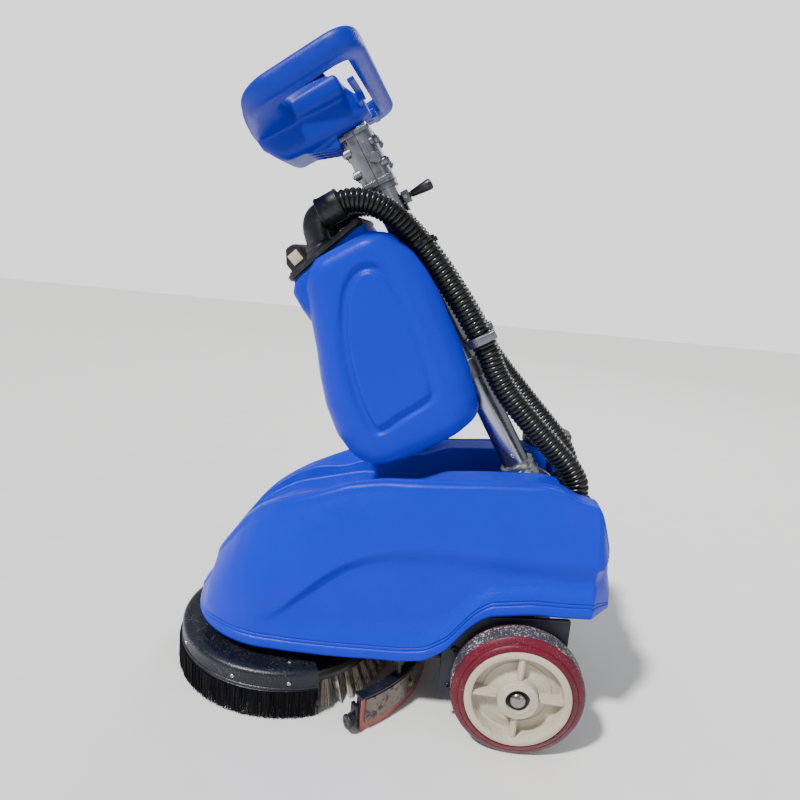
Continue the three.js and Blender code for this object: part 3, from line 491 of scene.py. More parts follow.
def body_section(x):
    """The body's outline across at x, from the bottom edge over the rims and back down."""
    nose_run = smooth((x + 255) / 30) * (1 - smooth((x + 120) / 60))
    top, floor, low = read_softly(BODY_STATIONS, x, 4 + 5 * smooth((x + 285) / 15) + 15 * nose_run)
    crease = read_softly(CREASE, x, 25)[0]
    if x < BRUSH_X:
        wide = sqrt(max(NOSE_RADIUS ** 2 - (x - BRUSH_X) ** 2, 400))
    else:
        wide = NOSE_RADIUS + 2 * smooth((x - BRUSH_X) / 40)
    nose = min(1, max(0, (x + 322) / 250))
    waist = 12 * smooth((x + 280) / 60) * (1 - smooth((x + 40) / 100))
    shoulder = min(wide - 2, 18 + 112 * sin(nose * pi / 2) - waist)
    rise = top - low
    edge = min(10, rise * 0.3, shoulder * 0.4)
    scale = min(1, rise / 150)
    crease = min(max(crease, low + 56 * scale), top - edge - 20 * scale)
    step_depth = 11 * smooth((x + 205) / 130)
    step_width = 21 + 20 * smooth((x + 80) / 180)
    tail = max(0, (x - 324) / (TAIL - 324))
    chamfer_top = 298 + 1.6 * max(0, x - 336)

    def tail_cut(h):
        return tail * (7 + 33 * smooth((chamfer_top - h) / 6))

    heights = [low + h * scale for h in BAND_HEIGHTS]
    start, last = heights[-1], top - edge
    heights += [start + (crease - 22 * scale - start) * i / 11 for i in range(1, 12)]
    heights += [crease + h * scale for h in CREASE_HEIGHTS]
    start = heights[-1]
    heights += [start + (last - start) * i / 16 for i in range(1, 17)]
    half = []
    for h in heights:
        t = (h - low) / (last - low)
        y = wide + (shoulder - wide) * t ** 2.6
        below = smooth((crease + 3 - h) / (step_width * scale))
        band = smooth((h - low - 22 * scale) / (30 * scale))
        y -= step_depth * below * band * (1 - tail)
        y += 1.2 * (1 - smooth((h - low - 10 * scale) / 8))
        y -= sum(groove((h - low) / scale - line) for line in BAND_LINES)
        half.append((y - tail_cut(h), h))
    inner = shoulder - edge - tail_cut(last)
    over = half[-1][0] - inner
    half += [(inner + over * across, last + edge * up) for across, up in quarter(6)]
    rim = min(84 if x > 262 else 58, inner * 0.7)
    lip = min(6, inner * 0.15)
    dip = 15 * smooth((x + 150) / 70) * (1 - smooth((x - 40) / 60))
    fade_lines = smooth((x + 235) / 60) * (1 - smooth((x - 290) / 20))
    spots = [(line + d) / RIM_WIDTH for line in RIM_LINES for d in (-2, -1, 0, 1, 2)]
    for share in sorted(spots + [0.02, 0.05, 0.24, 0.34, 0.46, 0.58, 0.7, 0.82, 0.92, 1.0]):
        z = top - dip * smooth((share - 0.2) / 0.7)
        z -= fade_lines * sum(groove(share * RIM_WIDTH - line, 1.1, 1.5) for line in RIM_LINES)
        half.append((inner - (inner - rim - lip) * share, z))
    edge_z = top - dip
    drop = min(lip, max(0.2, (edge_z - floor) * 0.4))
    half += [(rim + lip - lip * up, edge_z - drop * (1 - across)) for across, up in quarter(5)]
    edge_z -= drop
    foot = floor + min(8, max(0.1, (edge_z - floor) * 0.5))
    wall = rim - lip * 0.4
    half += [(rim - lip * 0.4 * i / 5, edge_z + (foot - edge_z) * i / 5) for i in range(1, 6)]
    reach_in = min(8, rim * 0.2)
    half += [(wall - reach_in * (1 - across), foot - (foot - floor) * up) for across, up in quarter(5)]
    half.append((rim * 0.4, floor))
    return [(x, -y, z) for y, z in half] + [(x, y, z) for y, z in reversed(half)]


def body_places():
    """Places of the sections: close together round the nose and wherever the skin steps."""
    nose = [BRUSH_X - (BRUSH_X - NOSE_TIP) * cos(pi / 2 * i / 46) for i in range(46)]
    middle = [BRUSH_X + (262 - BRUSH_X) * i / 84 for i in range(85)]
    tail = [262 + (TAIL - 262) * i / 46 for i in range(1, 47)]
    return nose + middle + tail


def make_body():
    shape = Shape()
    rings = [body_section(x) for x in body_places()]
    count = len(rings[0])
    verts = [v for ring in rings for v in ring]
    faces = []
    for r in range(len(rings) - 1):
        for k in range(count - 1):
            a = r * count + k
            faces.append((a, a + 1, a + count + 1, a + count))
    for ring in (0, len(rings) - 1):
        base = ring * count
        for k in range(count // 2 - 1):
            faces.append((base + k, base + k + 1, base + count - 2 - k, base + count - 1 - k))
    shape.add(verts, faces)
    body = piece("body_shell_skin", shape, MM, BLUE, ["body_shell"], body=None, sharp=50)
    modify(body, "wall", "SOLIDIFY", apply=False, thickness=0.004, offset=-1)
    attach(body, "root")
    neck = Shape().lathe([(24, -60), (29, -60), (29, -3), (33, 0), (36, 2), (36, 13), (24, 13)], 56,
        CAP_PLACE)
    neck.ring("z", 33, 27, 6, 266, 116, 392, 1.5)
    piece("filler_neck", neck, MM, BLUE)


def make_filler_cap():
    outline = []
    for i in range(144):
        outline += circle(42.6 + (1.2 if i % 4 in (0, 1) else 0), [2 * pi * i / 144])
    shape = Shape().plate(outline, 0, 17.5, 1.0, matrix=CAP_PLACE)
    shape.lathe([(0, 17), (40, 17), (41, 19), (40, 22), (30, 22.8), (28, 21.4), (0, 21.4)], 64, CAP_PLACE)
    piece("filler_cap_knurled", shape, MM, BLACK, ["filler_cap"], "cap")


# ---- Chassis and wheels -------------------------------------------------------------------------

def make_chassis():
    plates, axle = Shape(), Shape()
    outline = round_corners([(112, 50), (150, 50), (200, 72), (262, 72), (300, 140), (299, 212),
        (160, 198), (126, 160), (112, 140)], 6)
    cap = [(0, 0), (12, 0), (12, 4.5), (11, 6.4), (8.8, 7.8), (6, 9), (3, 9.7), (0, 9.8)]
    for side, _ in SIDES:
        out = (0, side, 0)
        plates.side_plate(outline, *span(side, 145, 150), 1.2)
        plates.ring("z", 11, 5.4, 26, 46.58, side * 121, 84, 1)
        plates.box(54, 116, side * 121 - 8, side * 121 + 8, 104, 110)
        plates.lathe([(AXLE_HOLE, 0), (22, 0), (22, 5), (20, 6), (AXLE_HOLE, 6)], 40,
            aim((WHEEL_X, side * 149, WHEEL_RADIUS), out))
        plates.screw((131, side * 150, 138), out, 6)
        plates.screw((127, side * 150, 74), out, 5)
        axle.lathe(cap, 40, aim((WHEEL_X, side * 195.3, WHEEL_RADIUS), out))
    for box in ((112, 117, -146, 146, 104, 138), (-255, 116, -98, 98, 106, 110),
                (116, 298, -146, 146, 120, 124), (215, 265, -40, 40, 123, 299)):
        plates.box(*box)
    for x in (-240, -86):
        for y in (-85, 85):
            plates.rod("z", 8, 27, x, y, 80.3)
    piece("chassis_plates", plates, MM, STEEL_BLACK, ["chassis_frame"])
    axle.rod("y", 10, 390.6, WHEEL_X, -195.3, WHEEL_RADIUS)
    piece("axle_bar", axle, MM, AXLE_STEEL, ["axle"])


def make_wheel(side, label):
    """One wheel: tyre, tread, hub with four ribs, and bearing."""
    outer, inner = 199.3, 156.3

    def part(name, look, profile, steps, nodes=(), ribs=()):
        """Turned about the axle from (radius, distance in from the outer face) pairs."""
        shape = Shape().lathe([(radius, outer - depth) for radius, depth in profile], steps)
        for i in range(4):
            turn = Matrix.Rotation(i * pi / 2, 4, "Z")
            for outline, depth, top, edge in ribs:
                shape.plate(outline, outer - depth, outer - top, edge, matrix=turn)
        place = MM @ aim((WHEEL_X, 0, WHEEL_RADIUS), (0, side, 0))
        piece(f"{name}_{label}", shape, place, look, nodes, f"wheel_{label}")

    wide = outer - inner
    part("tyre", MAROON, [(80, wide - 2), (86, wide - 0.6), (95, wide), (97.6, wide - 0.5),
        (99.2, wide - 2), (99.4, wide - 4), (99.4, 12.4), (98.7, 10), (97.6, 8.9), (93.2, 6.2), (89, 4.1),
        (88.2, 4.6), (87.4, 3.4), (83, 1.2), (80.6, 0.3), (80, 0.8)], 128, [f"wheel_{label}_tyre"])
    part("tread", TREAD, [(99.0, wide - 3), (99.7, wide - 4), (100, wide - 6), (100, 14),
        (99.7, 12.5), (99.0, 11)], 128)
    part("hub", BEIGE, [(70, wide - 5), (79.2, wide - 5), (79.2, 1.6), (78, 0.6), (70, 0),
        (68.4, 0.8), (67.4, 4), (66.2, 20), (64, 22), (52, 20), (50.8, 18.4), (48.6, 18.2), (47.4, 19.4),
        (34, 18.2), (31, 16), (30, -1.2), (28.8, -2.4), (22, -2.5), (20.8, -3.3), (18.8, -3.3),
        (18, -2.2), (18, wide - 4), (30, wide - 4), (31, 27), (66, 29)], 112, [f"wheel_{label}_hub"],
        [([(28, -4.2), (68, -4.8), (68, 4.8), (28, 4.2)], 23, 5.4, 1.2),
        ([(31, -2), (66, -2.2), (66, 2.2), (31, 2)], 9, 3.6, 0.8)])
    part("bearing", DARK_METAL, [(AXLE_HOLE, wide - 6), (17.6, wide - 6), (17.6, 3), (16.6, 2),
        (14, 3.4), (12.6, 2.6), (AXLE_HOLE + 2, 3.2), (AXLE_HOLE, 6)], 56, [f"wheel_{label}_bearing"])


# ---- Deck and brush -----------------------------------------------------------------------------

DECK_START = radians(62)
DECK_END = 2 * pi - DECK_START
SKIRT_BRISTLES = 1500
TUFT_STRANDS = 17
TUFT_REACH = 180.5  # how far out a tuft's tip may splay


def make_deck():
    profile = [(40, 75.5), (40, 80), (172, 80), (178, 79.6), (182, 78.4), (185, 76), (186.6, 73),
        (187, 70), (187, 54), (187.6, 53), (188.8, 52.4), (188.8, 50), (187.6, 49.2), (187.6, 48.4),
        (188.8, 47.6), (188.8, 44), (187.6, 43), (184, 43), (184, 72), (180, 75.5)]
    shape = Shape().arc(profile, DECK_START, DECK_END, 150)
    piece("deck_cover", shape, BRUSH, DECK_BLACK, ["deck_shroud"])
    screws = Shape()
    for degrees in (76, 104, 142, 180, 218, 256, 284):
        across, along = cos(radians(degrees)), sin(radians(degrees))
        screws.screw((187 * across, 187 * along, 61), (across, along, 0), 3.4)
    for degrees in (284, 76):
        [(x, y)] = circle(160, [radians(degrees)])
        screws.screw((x, y, 80), (0, 0, 1), 3.4)
    piece("deck_screws", screws, BRUSH, BRIGHT_STEEL)


def strand(shape, top, bottom, wide, narrow):
    """One bristle: a thin three-sided spike from top to bottom."""
    axis = (bottom - top).normalized()
    across = axis.orthogonal().normalized()
    other = axis.cross(across)
    turn = random.uniform(0, 2.1)
    ends = []
    for centre, radius in ((top, wide), (bottom, narrow)):
        ends.append([centre + (across * cos(turn + a) + other * sin(turn + a)) * radius
            for a in (0, 2.1, 4.2)])
    shape.rings(ends)


def make_skirt():
    shape = Shape().arc([(187.4, 26), (189.2, 26), (189.2, 47), (187.4, 47)], DECK_START, DECK_END, 110)
    for i in range(SKIRT_BRISTLES):
        angle = DECK_START + (DECK_END - DECK_START) * (i + random.random()) / SKIRT_BRISTLES
        lean = random.gauss(0, 0.006)
        radius = random.uniform(188, 191.4)
        foot = min(radius + random.uniform(-0.6, 1.4), 192.6)
        low = random.uniform(0.3, 3.2) if random.random() < 0.86 else random.uniform(3, 9)
        start = Vector((radius * cos(angle), radius * sin(angle), 47))
        end = Vector((foot * cos(angle + lean), foot * sin(angle + lean), low))
        strand(shape, start, end, 0.85, 0.5)
    piece("skirt_hair", shape, BRUSH, BRISTLE, ["skirt_bristles"])


def make_brush():
    disc = [(0, 40), (158, 40), (162, 41), (165, 45), (165, 56), (163, 60), (158, 62), (96, 62),
        (90, 58), (60, 58), (54, 62), (0, 62)]
    shape = Shape().lathe(disc, 96)
    piece("brush_disc", shape, BRUSH, BLACK, ["brush_block"], "brush")
    tufts = Shape()
    for radius, count in ((157, 50), (138, 44), (119, 38), (100, 32)):
        for i in range(count):
            angle = 2 * pi * (i + 0.5 * (radius % 2)) / count
            out = Vector((cos(angle), sin(angle), 0))
            splay = 6 + 15 * (radius - 100) / 57
            along = Vector((-out.y, out.x, 0)) * random.gauss(0, 1.6)
            for _ in range(TUFT_STRANDS):
                spread = Vector((random.gauss(0, 1.5), random.gauss(0, 1.5), 0))
                root = out * radius + spread + Vector((0, 0, 41))
                foot = root + out * (splay * random.uniform(0.85, 1.05)) + spread * 1.3 + along
                foot.z = random.uniform(1.1, 3.5)
                reach = hypot(foot.x, foot.y)
                if reach > TUFT_REACH:
                    foot.x *= TUFT_REACH / reach
                    foot.y *= TUFT_REACH / reach
                strand(tufts, root, foot, 0.95, 0.8)
    piece("brush_tuft_rings", tufts, BRUSH, TUFT, ["brush_tufts"], "brush")
    profile = [(0, 62.3), (27, 62.3), (28, 63.3), (28, 73), (26, 75), (20, 80), (20, 86), (0, 86)]
    hub = Shape().lathe(profile, 48)
    piece("brush_drive_hub", hub, BRUSH, STEEL, ["drive_hub"], "brush")


# ---- Squeegee -----------------------------------------------------------------------------------

SQUEEGEE_RADIUS = 242
SQUEEGEE_END = radians(50)
STRAP_SETBACK = 0.035  # how far short of the holder's ends the strap stops, in radians
TIP_ARM = 6


def make_squeegee():
    r, a = SQUEEGEE_RADIUS, SQUEEGEE_END
    holder = Shape()
    holder.arc([(r - 4, 16), (r + 4, 16), (r + 4, 57), (r + 9, 57.4), (r + 10, 58.4), (r + 10, 61),
        (r + 9, 62), (r - 8, 62), (r - 9, 61), (r - 9, 58.4), (r - 8, 57.4), (r - 4, 57)], -a, a, 90)
    for side, _ in SIDES:
        guide = radians(30)
        holder.rod("z", 5, 72, r * cos(guide), side * r * sin(guide), 60)
        holder.box(r - 12, r + 3, *span(side, 0, TIP_ARM), 12, 44,
            matrix=Matrix.Rotation(side * (a - 0.002), 4, "Z"))
    holder.ring("z", 20, 15, 18, r, 0, 60, 1)
    piece("squeegee_bar", holder, BRUSH, DECK_BLACK, ["squeegee_holder"], "squeegee")
    end = a - 0.01
    for label, inner in (("front", r - 7.6), ("rear", r + 4.3)):
        top = 52 if label == "front" else 56
        profile = [(0.4, 0.9), (1.65, 0.5), (2.9, 0.9), (3.3, 2), (3.3, top), (0, top), (0, 2)]
        blade = Shape().arc([(inner + x, z) for x, z in profile], -end, end, 90)
        piece(f"squeegee_lip_{label}", blade, BRUSH, BLADE, [f"squeegee_blade_{label}"],
              "squeegee")
    strap_end = a - STRAP_SETBACK
    strap = Shape().arc([(r + 7.9, 15.6), (r + 8.4, 15), (r + 9.4, 15), (r + 9.9, 15.6), (r + 9.9, 55.4),
        (r + 9.4, 56), (r + 8.4, 56), (r + 7.9, 55.4)], -strap_end, strap_end, 90)
    for side, _ in SIDES:
        angle = side * radians(24)
        out = Vector((cos(angle), sin(angle), 0))
        strap.lathe([(0, 0), (7, 0), (7, 2), (5.5, 2.6), (5.5, 5), (3.5, 6), (0, 6)], 24,
            aim(out * (r + 9.4) + Vector((0, 0, 36)), out))
    piece("squeegee_band", strap, BRUSH, STRAP, ["squeegee_strap"], "squeegee")
    for side, label in SIDES:
        y0 = TIP_ARM + 0.6 if side > 0 else -TIP_ARM - 13.6
        spin = Matrix.Rotation(side * a, 4, "Z") @ aim((r, y0, 20), (0, 1, 0))
        rim = [(0, 1), (5, 1), (5.5, 0), (9.5, 0), (11.2, 0.6), (12, 1.8), (12, 3.6), (11, 4.6),
            (9, 5), (8.6, 6.5)]
        rim += [(9, 8), (11, 8.4), (12, 9.4), (12, 11.2), (11.2, 12.4), (9.5, 13), (5.5, 13), (5, 12),
            (0, 12)]
        roller = Shape().lathe(rim, 48, spin)
        piece(f"roller_{label}", roller, BRUSH, BLACK, [f"squeegee_roller_{label}"],
              f"roller_{label}")


# ---- Pivot, foot and tube -----------------------------------------------------------------------

def make_pivot():
    bracket = Shape()
    x, z = 240, 343.5  # the fold axis
    crown = circle(42, [pi * (0.04 + 0.92 * i / 24) for i in range(25)], x, z)
    bracket.box(208, 260, -42, 42, 300.3, 306.5)
    for side, _ in SIDES:
        out = (0, side, 0)
        bracket.side_plate([(208, 303), (262, 303)] + crown, *span(side, 34, 42), 1.6)
        face = side * 42 + (2.2 if side > 0 else 0.2)
        upright = Matrix(((1, 0, 0, x), (0, 0, -1, face), (0, 1, 0, z), (0, 0, 0, 1)))
        for radius in (38, 30):
            band = [(radius, 0), (radius + 1.6, 0.8), (radius + 1.6, 2.4), (radius - 1.6, 2.4),
                (radius - 1.6, 0.8)]
            bracket.arc(band, 0.1, pi - 0.1, 40, upright)
        bracket.lathe([(8.4, 0), (15, 0), (14, 2.4), (8.4, 2.4)], 40, aim((x, side * 42, z), out))
    bracket.rod("y", 33, 16, x, -8, z, 1.5, 64)
    bracket.box(222, 258, -8, 8, 303, 330)
    piece("pivot_casting", bracket, MM, BRIGHT_CAST, ["pivot_bracket"])
    pin = Shape().rod("y", 8, 92, x, -46, z)
    pin.lathe([(0, 0), (12, 0), (12, 4), (10.5, 5.6), (0, 5.6)], 6, aim((x, -42.4, z), (0, -1, 0)))
    piece("pivot_bolt", pin, MM, BRIGHT_STEEL, ["pivot_pin"])


def make_column():
    foot = Shape()
    ear = circle(27, [pi * (1 + i / 24) for i in range(25)])
    for side, _ in SIDES:
        foot.side_plate(ear + [(24, 46), (-24, 46)], *span(side, 9, 30), 1.4)
    foot.lathe([(TUBE_BORE, 61), (TUBE_BORE, 70), (26, 70), (28.6, 69.2), (29.6, 67), (29.6, 62),
        (28, 60.4), (27, 57), (28, 53.6), (30, 52), (30, 42), (TUBE_RADIUS, 42), (10, 43), (10, 61)], 64)
    foot.screw((0, -30, 24), (0, -1, 0), 5)
    piece("column_foot_casting", foot, COLUMN, BRIGHT_CAST, ["column_foot"], "column")
    tube = Shape().lathe([(19, 61.3), (22, 61.3), (22, 677.5), (21.5, 678), (19.5, 678), (19, 677.5)], 72)
    piece("column_tube_brushed", tube, COLUMN, TUBE, ["column_tube"], "column")
    fixings = Shape()
    for side, _ in SIDES:
        fixings.screw((0, side * TUBE_RADIUS, 88), (0, side, 0), 3.6)
    fixings.ring("z", 22.6, 21.9, 1.6, 0, 0, 520, 0.2)
    piece("column_screws", fixings, COLUMN, BRIGHT_STEEL, body="column")


def make_clamp(side, label):
    """One half of the clamp that joins the handle to the tube; the split runs along the tube."""
    half = Shape()

    def half_ring(outer, low, high, edge):
        """A plate between an outer edge and the tube's bore, cut flat at the split."""
        turns = [radians(-88.8 + 177.6 * i / 28) for i in range(29)]
        bore = circle(TUBE_BORE, reversed(turns))
        bore[0], bore[-1] = (0.4, bore[0][1]), (0.4, bore[-1][1])
        half.plate([(side * x, y) for x, y in outer + bore], low, high, edge)

    half_ring([(0.4, -31), (12, -31), (17, -29), (24.6, -18), (24.6, 18), (17, 29), (12, 31), (0.4, 31)],
        560, 648.5, 0.9)
    collar = circle(26, [radians(turn) for turn in range(-88, 89, 8)])
    half_ring([(0.4, -26)] + collar + [(0.4, 26)], 552, 561, 1.2)
    for y in (-24, 24):
        for z in (588, 622):
            half.rod("x", 7, 14, 15 if side > 0 else -29, y, z, 1.8)
            half.rod("x", 4, 2.4, 28.4 if side > 0 else -30.8, y, z, 0.8, 6)
    for y in (-1, 1):
        for z in (566, 643):
            half.box(*span(side, 1.2, 25), *span(y, 30, 32.4), z - 3, z + 3, 0.9)
        if side > 0:
            half.rod("y", 9, 5, 13, 29 if y > 0 else -34, 598, 1.6)
            for x in (7, 22):
                half.box(x - 1.6, x + 1.6, *span(y, 30, 33), 598, 626, 0.8)
    piece(f"clamp_{label}_casting", half, COLUMN, CAST, [f"clamp_{label}"], "column")


def make_lever():
    h, x = 530, 27  # the lever pin's place up the column and in front of it
    window = 12.2
    bracket, arm = Shape(), Shape()
    for side, _ in SIDES:
        bracket.box(22.4, x + 7, side * 9 - 2.5, side * 9 + 2.5, h - 9, h + 9)
    bracket.box(22.4, 25, -11, 11, h - 20, h - 8.5)
    pin = Shape().rod("y", 3, 26, x, -13, h)
    arm.box(-3, 36, -4, 4, h - 4, h + 4)
    arm.rod("y", 7, 12, x, -6, h, 1)
    grip = Shape().lathe([(0, 36.3), (4.6, 36.3), (5.2, 37.4), (5.6, 41), (7.4, 54), (8.4, 63), (8.7, 67),
        (8.2, 70), (6.4, 71.6), (3, 72.2), (0, 72.3)], 40, aim((0, 0, h), (1, 0, 0)))
    rod = Shape().rod("z", 4, h - window - 34, 0, 0, 34)
    rod.rod("z", 9, 5, 0, 0, h + window + 0.3)
    rod.box(-9, -6.5, -5, 5, h - window - 4, h + window + 4)
    rod.box(-9, 5, -5, 5, h - window - 4, h - window)
    for name, shape, slot, look, node, body in (
            ("lever_fork", bracket, "cast_aluminium", CAST, "lever_bracket", "column"),
            ("lever_axle", pin, "steel", BRIGHT_STEEL, "lever_pin", "column"),
            ("lever_bar", arm, "black_steel", STEEL_BLACK, "lever_arm", "lever"),
            ("lever_knob", grip, "black_plastic", BLACK, "lever_grip", "lever"),
            ("lock_rod_bar", rod, "steel", STEEL, "lock_rod", "lock_rod")):
        piece(name, shape, COLUMN, look, [node], body)


# ---- Handle -------------------------------------------------------------------------------------

def curve_through(start, steps):
    """An outline of line and bent stretches: each stretch is (end,) or (control, end)."""
    points = [start]
    for stretch in steps:
        begin = Vector(points[-1])
        if len(stretch) == 1:
            points.append(stretch[0])
            continue
        control, end = Vector(stretch[0]), Vector(stretch[1])
        for i in range(1, 15):
            t = i / 14
            point = begin * (1 - t) ** 2 + control * 2 * t * (1 - t) + end * t ** 2
            points.append((point.x, point.y))
    return points


# Hub sections from the front of the ring back to the tube: place, half width, bottom, top.
HUB_SECTIONS = [[-130, 66, 684, 712], [-120, 70, 664, 719], [-106, 68, 651, 724], [-70, 61, 649, 731],
    [-30, 54, 649, 732], [2, 50, 650, 731], [12, 44, 651, 722], [20, 38, 654, 702], [32, 32, 662, 684]]


def hub_section(x):
    """An upright rounded section across the hub, narrower at its foot."""
    half, bottom, top = read_softly(HUB_SECTIONS, x, 8)
    tall = (top - bottom) / 2
    corner = min(15, tall * 0.6)
    return [(x, y * (0.9 + 0.1 * z / tall), z + bottom + tall)
        for y, z in rounded_rect(half, tall, corner, steps=7)]


def make_handle():
    rear, w = 71, 205
    outline = curve_through((rear, -160), [
        ((rear, -w), (30, -w)), ((-60, -198),), ((-100, -190), (-112, -140)), ((-136, -70), (-136, 0)),
        ((-136, 70), (-112, 140)), ((-100, 190), (-60, 198)), ((30, w),), ((rear, w), (rear, 160))])
    inside, front, out = 43, -62, 167
    opening = curve_through((inside, -150), [
        ((inside, 150),), ((inside, out), (26, out)), ((front + 30, out - 6),),
        ((front, out - 8), (front, 130)), ((front, 66),), ((front, 60), (front + 6, 60)), ((10, 60),),
        ((16, 60), (16, 54)), ((16, -54),), ((16, -60), (10, -60)), ((front + 6, -60),),
        ((front, -60), (front, -66)), ((front, -130),), ((front, -out + 8), (front + 30, -out + 6)),
        ((26, -out),), ((inside, -out), (inside, -150))])
    shell = Shape()
    shell.plate(outline, 691, 723, 10, [opening[:-1]], steps=7)
    shell.rings([hub_section(x) for x in range(-130, 35, 4)])
    for y in (-33, -11, 11, 33):
        fin = [(-78, 656), (-78, 649), (-34, 634), (-24, 634), (-24, 656)]
        shell.side_plate(round_corners(fin, 3), y - 2.6, y + 2.6, 0.8)
    handle = piece("handle_moulding", shell, COLUMN, HANDLE_BLUE, ["handle_shell"], None)
    modify(handle, "melt", "REMESH", mode="VOXEL", voxel_size=0.0022, use_smooth_shade=True)
    modify(handle, "even", "SMOOTH", iterations=6, factor=0.5)
    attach(handle, "column")
    trigger = Shape()
    for side, _ in SIDES:
        trigger.box(30, 40, *span(side, 62, 140), 677, 682, 2)
        trigger.box(24, 40, *span(side, 57, 66), 668.5, 682, 2)
    trigger.rod("y", 3.6, 124, 27.6, -62, 672)
    piece("trigger_paddles", trigger, COLUMN, HANDLE_BLUE, ["trigger_bar"], "trigger")
    cutouts = [rounded_rect(9, 12, 1, -43, -22, 3), rounded_rect(9, 12, 1, -43, 22, 3),
        circle(8.3, [pi * i / 16 for i in range(32)], -14, -22)]
    panel = Shape().plate(rounded_rect(30, 44, 6, -30, 0), 732.3, 735, 0.7, cutouts)
    piece("switch_plate", panel, COLUMN, PANEL, ["switch_panel"], "column")
    for label, y, look, slot in (("brush", -22, RED, "switch_red"), ("vacuum", 22, PANEL, "panel_black")):
        profile = [(-51, 735.4), (-35, 735.4), (-35, 741), (-39, 739.2), (-43, 738.5), (-47, 739.2),
            (-51, 741)]
        rocker = Shape().side_plate(profile, y - 11, y + 11, 0.5)
        piece(f"rocker_{label}_cap", rocker, COLUMN, look, [f"rocker_{label}"], f"rocker_{label}")
    key = Shape().rod("z", 8, 5.4, -14, -22, 732.6, 0.8)
    key.box(-15.2, -12.8, -30, -14, 737, 752, 0.6)
    piece("key_blade", key, COLUMN, BRIGHT_STEEL, ["key_switch"], "key")
    gauge = Shape().plate(rounded_rect(8, 14, 3, -14, 18), 735.3, 737, 0.5)
    piece("gauge_window", gauge, COLUMN, PANEL, ["charge_gauge"], "column")


# ---- Recovery tank and lid ----------------------------------------------------------------------

# Levels up the tank: height, front, rear, half width, corner radius.
TANK_LEVELS = [
    [172.5, -160, -52, 70, 34], [175, -182, -32, 88, 40], [182, -199, -19, 99, 46],
    [196, -214, -8, 108, 50], [216, -223, 0, 112, 52], [254, -228, 6, 115, 52],
    [301, -222, 11, 115, 52], [345, -209, 15, 115, 52], [384, -194, 17, 114, 52],
    [420, -183, 14, 113, 52], [450, -174, 8, 112, 54], [474, -166, -5, 112, 48],
    [489, -154, -14, 110, 40], [498, -144, -26, 104, 34], [503, -130, -40, 94, 28]]
# Middle of the embossed groove on each side of the tank, as (x, z) pairs.
TANK_GROOVE = [(-157, 236), (-163, 267), (-160, 300), (-152, 340), (-139, 380), (-119, 419), (-101, 443),
    (-84, 456), (-68, 459), (-54, 453), (-43, 437), (-37, 410), (-36, 380), (-40, 345), (-46, 300),
    (-52, 265), (-63, 247), (-112, 240)]
GROOVE_DEPTH = 5.5
GROOVE_WIDTH = 6.5
# The notch in the tank's rear face: half width, depth, and room kept round the tube.
NOTCH_HALF = 74
NOTCH_FACE = -10.0
TUBE_ROOM = 27.2
# Levels up the tank's neck, in the lid's frame: height, front, half width, corner radius.
NECK_LEVELS = [[-60, -86, 80, 20], [-40, -85, 80, 20], [-16, -81, 80, 20], [-11, -79.5, 80, 20],
    [-2, -69.5, 78.4, 20], [-0.6, -68.6, 78, 20], [0, -67.6, 77, 19]]
NECK_BACK = 68.5

GROOVE_CURVE = smooth_through(TANK_GROOVE[-1:] + TANK_GROOVE + TANK_GROOVE[:2], 40)
GROOVE_TREE = KDTree(len(GROOVE_CURVE))
for number, spot in enumerate(GROOVE_CURVE):
    GROOVE_TREE.insert(spot.to_3d(), number)
GROOVE_TREE.balance()


def groove_sink(x, z):
    """How far the tank's side sinks at (x, z), in the column frame."""
    if not (-185 < x < -15 and 220 < z < 480):  # out of the groove's reach
        return 0
    near = GROOVE_TREE.find((x, z, 0))[2] ** 2
    strength = 1 - 0.55 * smooth((x + 62) / 20) * smooth((430 - z) / 60)
    return strength * GROOVE_DEPTH * exp(-(near / GROOVE_WIDTH ** 2) ** 1.5)


def notch_limit(y):
    """How far back the tank's rear face reaches beside the column."""
    if abs(y) >= NOTCH_HALF:
        return 100 * smooth((abs(y) - NOTCH_HALF) / 2) - 8
    if abs(y) >= TUBE_ROOM - 0.2:
        return NOTCH_FACE
    return min(NOTCH_FACE, -sqrt(TUBE_ROOM ** 2 - y ** 2))


def tank_ring(z):
    """A rounded rectangle with close points, sunk at the groove and cut by the notch."""
    front, rear, half, radius = read_softly(TANK_LEVELS, z, 7)
    centre, length = (front + rear) / 2, (rear - front) / 2
    straight_x, straight_y = length - radius, half - radius
    signs = ((1, 1), (-1, 1), (-1, -1), (1, -1))
    points = []
    for corner, (sx, sy) in enumerate(signs):
        turns = [(corner + i / 14) * pi / 2 for i in range(15)]
        points += circle(radius, turns, centre + sx * straight_x, sy * straight_y)
        steps = 60 if corner in (0, 2) else 46
        nx, ny = signs[(corner + 1) % 4]
        ahead = circle(radius, turns[-1:], centre + nx * straight_x, ny * straight_y)[0]
        last = points[-1]
        points += [tuple(a + (b - a) * i / steps for a, b in zip(last, ahead)) for i in range(1, steps)]
    ring = []
    for x, y in points:
        sink = groove_sink(x, z) if abs(y) > half * 0.55 else 0
        y -= copysign(sink, y)
        ring.append((min(x, notch_limit(y)) if x > centre else x, y, z))
    return ring


